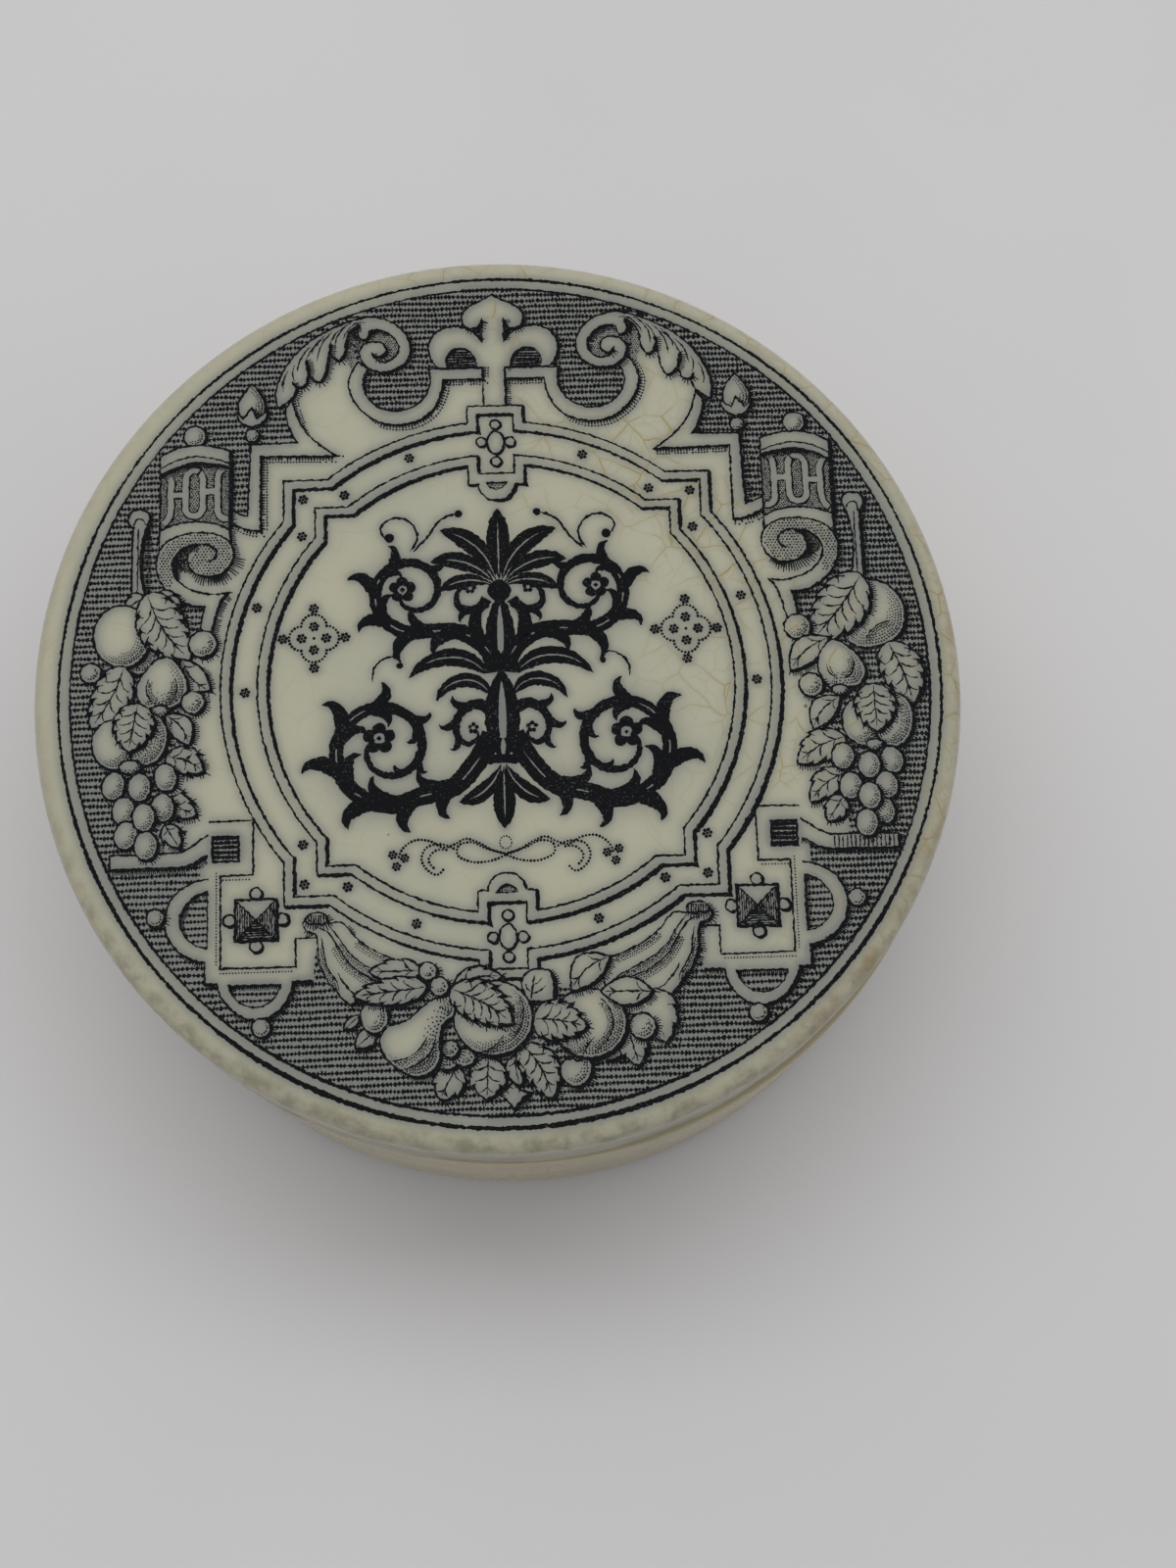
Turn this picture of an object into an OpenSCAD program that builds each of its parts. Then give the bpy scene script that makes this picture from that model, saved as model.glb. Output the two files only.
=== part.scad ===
// Shallow round earthenware pot with a loose cap lid, as used for cold cream.
// The lid's skirt drops over the pot's neck and its foot stands on the pot's shoulder.
// Origin: centre of the foot ring's underside. +Z is up, and -Y is the side that faces the viewer.

/* [Lid] */
// Diameter of the lid across its skirt
lid_d = 80; // [60:1:110]
// Height of the lid from the foot of its skirt to the edge of its crown
lid_h = 11; // [9:0.5:16]
// Thickness of the lid's top at its edge
lid_top_t = 4; // [3:0.5:5]
// Thickness of the lid's skirt
skirt_wall = 2.8; // [2.4:0.2:4]
// Radius of the rounded edge round the lid's top
lid_edge_r = 2; // [1:0.2:2.4]
// Rise of the crown's middle above its edge
crown_rise = 0.5; // [0.2:0.1:1.5]
// Radius of the hollow corner under the lid's top
lid_fillet_r = 1.6; // [0.6:0.2:2]

/* [Pot] */
// Height of the pot from its foot to its shoulder
pot_h = 27; // [20:1:60]
// How far the pot's wall stands in from the lid's skirt
pot_inset = 0.5; // [0.2:0.1:1.5]
// Thickness of the neck that the lid drops over
neck_wall = 2.8; // [2.4:0.2:4]
// Thickness of the pot's floor above its recess
floor_t = 3.4; // [2.5:0.1:6]
// Radius of the hollow corner between the wall and the floor inside
bowl_r = 6; // [3:0.5:10]
// Radius of the rounded heel at the foot of the wall
heel_r = 3; // [1.5:0.5:5]
// Radius of the rounded edge of the shoulder
shoulder_r = 0.7; // [0.4:0.1:1]

/* [Foot] */
// Width of the flat ring that the pot stands on
foot_w = 3.4; // [2:0.2:5]
// Depth of the recess inside the foot ring
recess_h = 1.2; // [0.6:0.1:2]

/* [Fit] */
// Gap all round between the neck and the inside of the skirt
neck_gap = 0.6; // [0.3:0.1:1.2]
// Gap between the neck's rim and the underside of the lid's top
head_gap = 0.6; // [0.3:0.1:1.2]
// Radius of the small rounded edges at the skirt's foot and the neck's rim
lip_r = 0.9; // [0.4:0.1:1.1]

/* [Hidden] */

arc_steps = 8;
fine_steps = 5;
crown_steps = 16;
$fn = 96;

lid_r = lid_d / 2;
skirt_in_r = lid_r - skirt_wall;
lid_in_h = lid_h - lid_top_t;
crown_edge_r = lid_r - lid_edge_r;
// Sphere of which the crown is a cap
crown_ball_r = (crown_edge_r * crown_edge_r + crown_rise * crown_rise) / (2 * crown_rise);

pot_r = lid_r - pot_inset;
neck_out_r = skirt_in_r - neck_gap;
neck_in_r = neck_out_r - neck_wall;
neck_h = lid_in_h - head_gap;
neck_top_z = pot_h + neck_h;
floor_z = recess_h + floor_t;
foot_out_r = pot_r - heel_r;
foot_in_r = foot_out_r - foot_w;

// Points of an arc about [x, z], from angle a0 to a1
function arc(x, z, r, a0, a1, steps) =
    [for (i = [0 : steps]) let (a = a0 + (a1 - a0) * i / steps) [x + r * cos(a), z + r * sin(a)]];

// Height of the crown above its edge, at a distance from the axis
function crown_z(r) =
    sqrt(crown_ball_r * crown_ball_r - r * r) - (crown_ball_r - crown_rise);

// Half section of the lid, standing on the foot of its skirt
lid_section = concat(
    [[0, lid_in_h]],
    arc(skirt_in_r - lid_fillet_r, lid_in_h - lid_fillet_r, lid_fillet_r, 90, 0, arc_steps),
    arc(skirt_in_r + lip_r, lip_r, lip_r, 180, 270, fine_steps),
    arc(lid_r - lip_r, lip_r, lip_r, 270, 360, fine_steps),
    arc(crown_edge_r, lid_h - lid_edge_r, lid_edge_r, 0, 90, arc_steps),
    [for (i = [1 : crown_steps])
        let (r = crown_edge_r * (1 - i / crown_steps)) [r, lid_h + crown_z(r)]]
);

// Half section of the pot, standing on its foot ring
pot_section = concat(
    [[0, recess_h]],
    arc(foot_in_r - recess_h, 0, recess_h, 90, 0, fine_steps),
    arc(foot_out_r, heel_r, heel_r, 270, 360, arc_steps),
    arc(pot_r - shoulder_r, pot_h - shoulder_r, shoulder_r, 0, 90, fine_steps),
    [[neck_out_r, pot_h]],
    arc(neck_out_r - lip_r, neck_top_z - lip_r, lip_r, 0, 90, fine_steps),
    arc(neck_in_r + lip_r, neck_top_z - lip_r, lip_r, 90, 180, fine_steps),
    arc(neck_in_r - bowl_r, floor_z + bowl_r, bowl_r, 0, -90, arc_steps),
    [[0, floor_z]]
);

// The jar itself: foot ring, wall, shoulder and neck, turned in one piece
module pot() {
    color("antiquewhite")
        rotate_extrude()
            polygon(pot_section);
}

// The cap lid: crowned top and skirt in one piece, standing on the pot's shoulder
module lid() {
    color("ivory")
        translate([0, 0, pot_h])
            rotate_extrude()
                polygon(lid_section);
}

pot();
lid();
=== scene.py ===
import bpy
import numpy as np
from mathutils import Matrix, Vector


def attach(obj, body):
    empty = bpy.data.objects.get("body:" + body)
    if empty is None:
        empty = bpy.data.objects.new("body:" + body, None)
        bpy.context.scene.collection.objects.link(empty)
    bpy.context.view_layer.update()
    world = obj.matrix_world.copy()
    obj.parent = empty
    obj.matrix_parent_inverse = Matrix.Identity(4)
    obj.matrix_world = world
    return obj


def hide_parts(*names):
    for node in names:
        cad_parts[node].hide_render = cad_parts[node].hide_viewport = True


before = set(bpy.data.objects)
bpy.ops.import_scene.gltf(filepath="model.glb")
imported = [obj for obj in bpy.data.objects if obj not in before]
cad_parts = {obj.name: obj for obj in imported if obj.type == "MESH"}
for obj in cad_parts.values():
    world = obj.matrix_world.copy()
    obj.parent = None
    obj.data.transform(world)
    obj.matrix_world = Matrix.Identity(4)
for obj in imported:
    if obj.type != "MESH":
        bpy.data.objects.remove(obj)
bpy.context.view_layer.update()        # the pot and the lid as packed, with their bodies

mm = 0.001
print("loaded", sorted(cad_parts))


# Camera

cameraValues = {
    "place": (2.44, -52.73, 217.53),   # where the lens is, in mm
    "target": (7.33, -9.29, 38.5),     # a spot on the plane of the lid's edge, at the middle of the picture
    "roll": 2.02,                      # how far the picture leans to the right, in degrees
    "lens": 50,                        # focal length and width of the sensor, in mm
    "sensor": 36,
    "near": 0.005,                     # what is closer than this isn't seen, in metres
}


def makeCamera():
    place = Vector(cameraValues["place"]) * mm
    away = (place - Vector(cameraValues["target"]) * mm).normalized()
    right = Vector((0, 1, 0)).cross(away).normalized()
    turn = Matrix((right, away.cross(right), away)).transposed()
    turn = turn @ Matrix.Rotation(-np.radians(cameraValues["roll"]), 3, "Z")
    data = bpy.data.cameras.new("camera")
    data.lens = cameraValues["lens"]
    data.sensor_width = cameraValues["sensor"]
    data.clip_start = cameraValues["near"]
    camera = bpy.data.objects.new("camera", data)
    camera.matrix_world = Matrix.Translation(place) @ turn.to_4x4()
    bpy.context.scene.collection.objects.link(camera)
    bpy.context.scene.camera = camera


makeCamera()
bpy.context.scene.view_settings.view_transform = "Standard"
print("camera placed")


# Colours and nodes

def tone(red, green, blue):
    # A colour as it is seen, from 0 to 255, as the linear values that Blender takes
    seen = np.array([red, green, blue]) / 255
    linear = np.where(seen <= 0.04045, seen / 12.92, ((seen + 0.055) / 1.055) ** 2.4)
    return (*(float(v) for v in linear), 1.0)


def feed(tree, node, inputs):
    # An input is a plain value or another node's output
    for key, value in inputs.items():
        if isinstance(value, bpy.types.NodeSocket):
            tree.links.new(value, node.inputs[key])
        else:
            node.inputs[key].default_value = value
    return node


def addNode(tree, kind, inputs, **settings):
    # A shader node. Its settings come first, because some of them change which inputs it has.
    made = tree.nodes.new("ShaderNode" + kind)
    for key, value in settings.items():
        setattr(made, key, value)
    return feed(tree, made, inputs)


def calc(tree, operation, a, b=0.0, c=0.0):
    return addNode(tree, "Math", {0: a, 1: b, 2: c}, operation=operation).outputs[0]


def times(tree, product, *factors):
    for factor in factors:
        product = calc(tree, "MULTIPLY", product, factor)
    return product


def blendColours(tree, amount, a, b):
    made = addNode(tree, "Mix", {0: amount, 6: a, 7: b}, data_type="RGBA", clamp_factor=True)
    return made.outputs[2]


def remap(tree, value, low, high, toLow=0.0, toHigh=1.0):
    # A smooth step from toLow, where the value is low, to toHigh, where it is high
    inputs = {"Value": value, "From Min": low, "From Max": high, "To Min": toLow, "To Max": toHigh}
    return addNode(tree, "MapRange", inputs, interpolation_type="SMOOTHSTEP").outputs[0]


def noiseOf(tree, vector, scale, detail=3.0, roughness=0.5):
    inputs = {"Vector": vector, "Scale": scale, "Detail": detail, "Roughness": roughness}
    return addNode(tree, "TexNoise", inputs).outputs["Fac"]


def newGroup(name, result, **values):
    # A shader node group that reads a Vector and some plain values, and puts out one value
    group = bpy.data.node_groups.new(name, "ShaderNodeTree")
    group.interface.new_socket("Vector", in_out="INPUT", socket_type="NodeSocketVector")
    for label, value in values.items():
        socket = group.interface.new_socket(label, in_out="INPUT", socket_type="NodeSocketFloat")
        socket.default_value = value
    group.interface.new_socket(result, in_out="OUTPUT", socket_type="NodeSocketFloat")
    return group, group.nodes.new("NodeGroupInput").outputs, group.nodes.new("NodeGroupOutput").inputs


def addGroup(tree, group, **inputs):
    # A group placed in a material with its own values, and what it puts out
    made = tree.nodes.new("ShaderNodeGroup")
    made.node_tree = group
    return feed(tree, made, inputs).outputs[0]


def newMaterial(name):
    material = bpy.data.materials.new(name)
    material.use_nodes = True
    tree = material.node_tree
    shader = tree.nodes["Principled BSDF"]
    place = tree.nodes.new("ShaderNodeTexCoord").outputs["Object"]
    return material, tree, shader, place


# Floor and light

stageValues = {
    "floorTone": (197, 196, 197),
    "floorShade": (190, 189, 191),     # faint clouds in the floor
    "floorRoughness": 0.6,
    "floorGloss": 0.15,
    "floorSize": 4.0,                  # half the floor's side, in metres
    "zenith": 1.1,                     # the room's light from straight above, and from its walls
    "walls": 0.3,
    "seenZenith": 0.1,                 # the same two as gloss shows them
    "seenWalls": 0.5,
    "lean": 0.25,                      # how much stronger the room's light is from the far side
    "mainFrom": (0.03, 0.33, 1.0),     # where the main soft light hangs, seen from the pot
    "mainAway": 0.95,
    "mainSize": (1.5, 0.35),
    "mainPower": 3.6,
    "sideFrom": (-1.0, 0.35, 0.8),     # a weaker window light that draws gloss along the rim
    "sideAway": 1.3,
    "sideSize": (0.9, 0.9),
    "sidePower": 0.5,
}


def makeFloor():
    half = stageValues["floorSize"]
    mesh = bpy.data.meshes.new("floor")
    corners = [(-half, -half, 0), (half, -half, 0), (half, half, 0), (-half, half, 0)]
    mesh.from_pydata(corners, [], [(0, 1, 2, 3)])
    floor = bpy.data.objects.new("floor", mesh)
    bpy.context.scene.collection.objects.link(floor)
    material, tree, shader, place = newMaterial("floor")
    cloudy = remap(tree, noiseOf(tree, place, 9.0, 4.0), 0.35, 0.65, 0.0, 0.5)
    shade = blendColours(tree, cloudy, tone(*stageValues["floorTone"]), tone(*stageValues["floorShade"]))
    tree.links.new(shade, shader.inputs["Base Color"])
    shader.inputs["Roughness"].default_value = stageValues["floorRoughness"]
    shader.inputs["Specular IOR Level"].default_value = stageValues["floorGloss"]
    mesh.materials.append(material)


def addLamp(name, came, away, size, power, glossy=True):
    data = bpy.data.lights.new(name, "AREA")
    data.shape = "ELLIPSE"
    data.size, data.size_y = size
    data.energy = power
    lamp = bpy.data.objects.new(name, data)
    way = Vector(came).normalized()
    lamp.location = way * away
    lamp.rotation_euler = way.to_track_quat("Z", "Y").to_euler()
    lamp.visible_glossy = glossy
    bpy.context.scene.collection.objects.link(lamp)


def makeLight():
    v = stageValues
    addLamp("main_light", v["mainFrom"], v["mainAway"], v["mainSize"], v["mainPower"], glossy=False)
    addLamp("side_light", v["sideFrom"], v["sideAway"], v["sideSize"], v["sidePower"])
    world = bpy.data.worlds.new("room")
    world.use_nodes = True
    tree = world.node_tree
    sky = tree.nodes["Background"]
    way = tree.nodes.new("ShaderNodeTexCoord").outputs["Generated"]
    split = addNode(tree, "SeparateXYZ", {0: way}).outputs
    up = split["Z"]
    rays = tree.nodes.new("ShaderNodeLightPath").outputs
    seen = calc(tree, "MAXIMUM", rays["Is Camera Ray"], rays["Is Glossy Ray"])
    seen = calc(tree, "MAXIMUM", seen, rays["Is Transmission Ray"])
    given = remap(tree, up, 0.5, 0.88, v["walls"], v["zenith"])
    given = times(tree, given, calc(tree, "MULTIPLY_ADD", split["Y"], v["lean"], 1.0))
    shown = remap(tree, up, 0.2, 0.8, v["seenWalls"], v["seenZenith"])
    level = addNode(tree, "Mix", {0: seen, 2: given, 3: shown}, data_type="FLOAT").outputs[0]
    tree.links.new(level, sky.inputs["Strength"])
    sky.inputs["Color"].default_value = (1.0, 1.0, 1.0, 1.0)
    bpy.context.scene.world = world


makeFloor()
makeLight()
print("floor and light ready")


# The print is drawn flat, in millimetres from the middle of the lid, y away from the viewer
penValues = {
    "step": 0.13,          # spacing of the samples along a line
    "stretch": 12,         # samples from one point of a curve to the next, before they are evened out
    "cell": 0.04,          # spacing of the grid that tells what covers what
    "fineLine": 0.18,      # width of an engraved outline
    "shadeLine": 0.22,     # how much thicker an outline gets on its shadow side
    "rough": 0.03,         # raggedness of a printed line's edge
    "thinnest": 0.02,      # the least half width of a line
    "reach": 41,           # half the side of the square that the print is drawn in
    "lightAngle": 137,     # where the engraver's light comes from, in degrees
    "seed": 1871,
}
rng = np.random.default_rng(penValues["seed"])
lightTurn = np.radians(penValues["lightAngle"])
shadowWay = -np.array([np.cos(lightTurn), np.sin(lightTurn)])
pen = {"side": 1, "rise": 1, "order": 0, "layer": "ground"}
ribbons, dots, ticks, covers = [], [], [], []


def nextOrder():
    pen["order"] += 1
    return pen["order"]


def note(kind, **marks):
    kind.append({"layer": pen["layer"], "order": nextOrder(), **marks})


def placed(points):
    # Points of the right upper quarter, mirrored to where the pen is
    return np.array([p[:2] for p in points], float) * (pen["side"], pen["rise"])


def smooth(p):
    # Cubic stretches through the points; the slope at each is that of the parabola through its neighbours
    if len(p) == 2:
        return p
    length = np.linalg.norm(np.diff(p, axis=0), axis=1)[:, None]
    slope = np.diff(p, axis=0) / length
    middle = (slope[:-1] * length[1:] + slope[1:] * length[:-1]) / (length[:-1] + length[1:])
    slopes = np.vstack([2 * slope[:1] - middle[:1], middle, 2 * slope[-1:] - middle[-1:]])
    t = np.linspace(0, 1, penValues["stretch"], endpoint=False)[None, :, None]
    a, b, h = p[:-1, None], p[1:, None], length[:, None]
    ma, mb = slopes[:-1, None] * h, slopes[1:, None] * h
    dense = ((2 * t**3 - 3 * t**2 + 1) * a + (t**3 - 2 * t**2 + t) * ma
             + (3 * t**2 - 2 * t**3) * b + (t**3 - t**2) * mb)
    return np.vstack([dense.reshape(-1, 2), p[-1:]])


def even(p, step=None):
    # The same line, sampled at even steps of its length, with both ends kept
    run = np.concatenate([[0], np.cumsum(np.linalg.norm(np.diff(p, axis=0), axis=1))])
    count = max(2, int(round(run[-1] / (step or penValues["step"]))) + 1)
    at = np.linspace(0, run[-1], count)
    return np.column_stack([np.interp(at, run, p[:, 0]), np.interp(at, run, p[:, 1])])


def turnedLeft(p):
    # A closed outline that runs anticlockwise, so that its right-hand side is its outside
    x, y = p[:, 0], p[:, 1]
    area = np.sum(x * np.roll(y, -1) - np.roll(x, -1) * y)
    return p if area > 0 else p[::-1]


def curve(points, closed=False):
    # A smooth line through the points. A point with a third number is a sharp corner.
    p = placed(points)
    corners = [i for i, q in enumerate(points) if len(q) > 2]
    if closed and not corners:
        ring, spare = np.vstack([p[-2:], p, p[:3]]), 2 * penValues["stretch"]
        return turnedLeft(even(smooth(ring)[spare:-spare])[:-1])
    if closed:
        p = np.roll(p, -corners[0], axis=0)
        p = np.vstack([p, p[:1]])
        breaks = [c - corners[0] for c in corners] + [len(p) - 1]
    else:
        breaks = sorted({0, len(p) - 1, *corners})
    runs = [even(smooth(p[a:b + 1])) for a, b in zip(breaks[:-1], breaks[1:])]
    path = np.vstack([r[:-1] for r in runs] + ([] if closed else [runs[-1][-1:]]))
    return turnedLeft(path) if closed else path


def loop(points):
    return curve(points, True)


def ellipse(x, y, rx, ry, tilt=0, start=0, end=360):
    # Points round an ellipse that is turned by tilt degrees
    whole = end - start >= 360
    count = max(9, int(np.hypot(rx, ry) * np.radians(end - start) / penValues["step"] / 1.4))
    a = np.radians(np.linspace(start, end, count, endpoint=not whole))
    c, s = np.cos(np.radians(tilt)), np.sin(np.radians(tilt))
    px, py = rx * np.cos(a), ry * np.sin(a)
    path = np.column_stack([x + px * c - py * s, y + px * s + py * c]) * (pen["side"], pen["rise"])
    return turnedLeft(even(np.vstack([path, path[:1]]))[:-1]) if whole else path


def sideways(path, closed):
    # Unit vectors to the right of a line, lengthened at a corner so that a ribbon keeps its width there
    if closed:
        before, after = path - np.roll(path, 1, axis=0), np.roll(path, -1, axis=0) - path
    else:
        step = np.diff(path, axis=0)
        before, after = np.vstack([step[:1], step]), np.vstack([step, step[-1:]])
    before /= np.linalg.norm(before, axis=1)[:, None] + 1e-9
    after /= np.linalg.norm(after, axis=1)[:, None] + 1e-9
    mean = before + after
    mean /= np.linalg.norm(mean, axis=1)[:, None] + 1e-9
    out = np.column_stack([mean[:, 1], -mean[:, 0]])
    beforeOut = np.column_stack([before[:, 1], -before[:, 0]])
    return out, 1 / np.clip(np.sum(out * beforeOut, axis=1), 0.6, 1)


def ragged(count):
    # How far a line's edge strays at each sample: random, and alike for neighbours
    noise = rng.normal(size=count + 1)
    return penValues["rough"] * (noise[:-1] + noise[1:]) / 1.4


def addRibbon(path, inner, outer, closed=False, keep=None):
    # A ribbon of ink, from inner to the left of the line to outer to its right
    shown = np.ones(len(path), bool) if keep is None else insideOf(path, keep)
    inner = np.maximum(np.broadcast_to(inner, len(path)) + ragged(len(path)), penValues["thinnest"])
    outer = np.maximum(np.broadcast_to(outer, len(path)) + ragged(len(path)), penValues["thinnest"])
    note(ribbons, path=path, closed=closed, inner=inner, outer=outer, shown=shown)


def inkLine(path, width=None, taper=0.0, closed=False, keep=None):
    # A line of even width, thinned to a point over the length taper at each end
    half = np.full(len(path), (width or penValues["fineLine"]) / 2)
    if taper:
        run = np.concatenate([[0], np.cumsum(np.linalg.norm(np.diff(path, axis=0), axis=1))])
        half *= np.clip(np.minimum(run, run[-1] - run) / taper, 0.04, 1) ** 0.7
    addRibbon(path, half, half, closed, keep)


def edgeLine(path, line=None, shade=None, outward=1, closed=True):
    # The outline of a light shape: thin towards the light, and thicker by shade * shadow ** 1.5 away from it
    base = (line or penValues["fineLine"]) / 2
    outward = outward if closed else outward * pen["side"] * pen["rise"]
    shadow = np.clip(outward * (sideways(path, closed)[0] @ shadowWay), 0, 1)
    extra = (penValues["shadeLine"] if shade is None else shade) * shadow ** 1.5
    if outward > 0:
        addRibbon(path, base, base + extra, closed)
    else:
        addRibbon(path, base + extra, base, closed)


def fringe(path, reach, closed=True, outward=1, pitch=0.26, width=0.2, gap=0.16, keep=None,
           rows=((0.0, 0.52, 0.15), (0.72, 0.32, 0.3))):
    # Rows of short strokes that stand off the shadow side of a line. A row is where it starts and how long
    # it is, as shares of the reach, and the least shadow it needs.
    p = even(np.vstack([path, path[:1]]) if closed else path, pitch)
    out = sideways(p, False)[0] * (outward if closed else outward * pen["side"] * pen["rise"])
    strength = np.clip(out @ shadowWay, 0, 1)
    for start, share, level in rows:
        some = (strength > level) & (rng.random(len(p)) < 0.95)
        if keep is not None:
            some &= insideOf(p + out * (gap + reach * 0.5), keep)
        at, away, much = p[some], out[some], strength[some, None] ** 0.5
        near = gap * much + reach * start * much + 0.03 * rng.random((len(at), 1))
        long = reach * share * much * (0.8 + 0.4 * rng.random((len(at), 1)))
        note(ticks, a=at + away * near, b=at + away * (near + long),
             wa=np.full(len(at), width / 2), wb=np.full(len(at), width / 3))


def burr(path, reach, closed=True, outward=1, pitch=0.17, keep=None):
    # A soft cast shadow: close strokes that grow out of a line's shadow side
    fringe(path, reach, closed, outward, pitch, 0.12, 0.1, keep, ((0.0, 0.9, 0.1),))


def addDots(centres, radii):
    centres = np.array(centres, float).reshape(-1, 2)
    note(dots, at=centres, r=np.broadcast_to(radii, len(centres)).astype(float))


def coverWith(path):
    covers.append((nextOrder(), path))


def lightShape(path, line=None, shade=None, fringed=0.6):
    # A bare shape that hides what is under it, with its outline and a cast shadow of short strokes
    coverWith(path)
    edgeLine(path, line, shade)
    if fringed:
        burr(path, fringed)


def maskOf(polygon):
    # Which cells of a fine grid lie inside an outline: along a row, each edge that is crossed changes sides
    cell = penValues["cell"]
    low = np.floor(polygon.min(0) / cell).astype(int) - 1
    size = np.ceil(polygon.max(0) / cell).astype(int) + 2 - low
    y = ((np.arange(size[1]) + low[1] + 0.5) * cell)[:, None]
    px, py = polygon.T
    qx, qy = np.roll(px, -1), np.roll(py, -1)
    row, edge = np.nonzero((py > y) != (qy > y))
    meet = px[edge] + (y[row, 0] - py[edge]) * (qx[edge] - px[edge]) / (qy[edge] - py[edge])
    column = np.clip(np.ceil(meet / cell - 0.5).astype(int) - low[0], 0, size[0])
    flips = np.zeros((size[1], size[0] + 1), int)
    np.add.at(flips, (row, column), 1)
    return low, np.cumsum(flips[:, :-1], axis=1) % 2 == 1


def insideOf(points, polygon):
    low, mask = maskOf(polygon)
    at = np.floor(points / penValues["cell"]).astype(int) - low
    known = np.all((at >= 0) & (at < mask.shape[::-1]), axis=1)
    inside = np.zeros(len(points), bool)
    inside[known] = mask[at[known, 1], at[known, 0]]
    return inside


def hatchFill(polygon, pitch=0.565, line=0.42, bead=0.34, low=0.1):
    # Level rows of beads, heavier up and to the right: a row's half width swings between low and 1 along x
    (left, bottom), (right, top) = polygon.min(0) - 0.2, polygon.max(0) + 0.2
    x = np.arange(left, right, bead / 6)
    rows = np.arange(np.ceil(bottom / pitch) * pitch, top, pitch)[:, None]
    size = (len(rows), len(x))
    phase = rng.random((len(rows), 1)) * 6.28
    drift = np.cumsum(rng.normal(size=size), axis=1) * 0.2
    swing = low + (1 - low) * np.abs(np.sin(x / bead * np.pi + phase + drift)) ** 1.2
    height = rows + 0.035 * np.sin(x * 0.9 + phase * 3) + 0.012 * rng.normal(size=size) + 0.006 * x
    heavy = 1 + 0.0025 * (x + rows) + 0.18 * rng.normal(size=size)
    half = np.maximum(line / 2 * swing * heavy, 0.025)
    at = np.column_stack([np.broadcast_to(x, size).ravel(), height.ravel()])
    shown = insideOf(at, polygon).reshape(size)
    order = nextOrder()
    for y, w, seen in zip(height, half, shown):
        ribbons.append({"layer": pen["layer"], "order": order, "path": np.column_stack([x, y]),
                        "closed": False, "inner": w, "outer": w, "shown": seen})


def stippleFill(polygon, pitch=0.27, size=0.075, jitter=0.2):
    # Staggered rows of dots
    low, high = polygon.min(0), polygon.max(0)
    gx, gy = np.meshgrid(np.arange(low[0], high[0], pitch), np.arange(low[1], high[1], pitch * 0.87))
    gx = gx + pitch / 2 * (np.arange(gx.shape[0])[:, None] % 2)
    at = np.column_stack([gx.ravel(), gy.ravel()])
    at += rng.normal(size=at.shape) * pitch * jitter * 0.4
    at = at[insideOf(at, polygon)]
    addDots(at, size * (0.8 + 0.4 * rng.random(len(at))))


def shadeRows(path, rows=3, gap=0.24, pitch=0.25, size=0.088, start=0.36, side=0, least=0.0):
    # Staggered rows of dots that fade away from a line: inside a round shape along its shadow side, or, with
    # a side of 1 or -1, along that side of an open line
    sign = side * pen["side"] * pen["rise"] if side else -1
    wide = np.linalg.norm(path - path.mean(0), axis=1).mean()
    for row in range(rows):
        away = start + gap * row
        line, closer = (path, 1) if side else (np.vstack([path, path[:1]]), max(0.35, 1 - away / wide))
        p = even(line, pitch / closer)
        p = p if row % 2 else (p[1:] + p[:-1]) / 2
        out, _ = sideways(p, False)
        strength = np.clip((out @ shadowWay * (sign if side else 1) + 0.4) / 1.4, least, 1)
        p = p + sign * out * away + 0.02 * rng.normal(size=p.shape)
        some = strength > 0.1 + 0.75 * row / rows
        if some.any():
            addDots(p[some], size * strength[some] ** 0.5 * (1.12 - 0.45 * row / rows))


def dotted(path, pitch=0.34, size=0.1):
    p = even(path, pitch)
    addDots(p, size * (0.85 + 0.3 * rng.random(len(p))))


def rosette(x, y, r=0.47):
    # Six petals of ink round a middle dot
    a = np.radians(np.arange(6) * 60 + 12)
    centre = placed([(x, y)])[0]
    addDots(centre + r * 0.66 * np.column_stack([np.cos(a), np.sin(a)]), r * (0.33 + 0.06 * rng.random(6)))
    addDots([centre], r * 0.32)


def roundShape(x, y, rx, ry=None, tilt=0, rows=2, shade=None, start=0.34, gap=0.22, size=0.088):
    path = ellipse(x, y, rx, ry or rx, tilt)
    lightShape(path, shade=shade, fringed=0.55 if rows else 0)
    if rows:
        shadeRows(path, rows, gap, 0.24, size, start)


def fruitShape(points, rows, gap=0.24, shade=None):
    path = loop(points)
    lightShape(path, shade=shade)
    shadeRows(path, rows, gap)


def crease(points, rows=2, side=1, width=0.14):
    # A crease in a fruit or a cloth, shaded on one side
    path = curve(points)
    inkLine(path, width, taper=0.8)
    shadeRows(path[2:-2], rows, 0.2, 0.22, 0.078, 0.2, side, 0.7)


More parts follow.
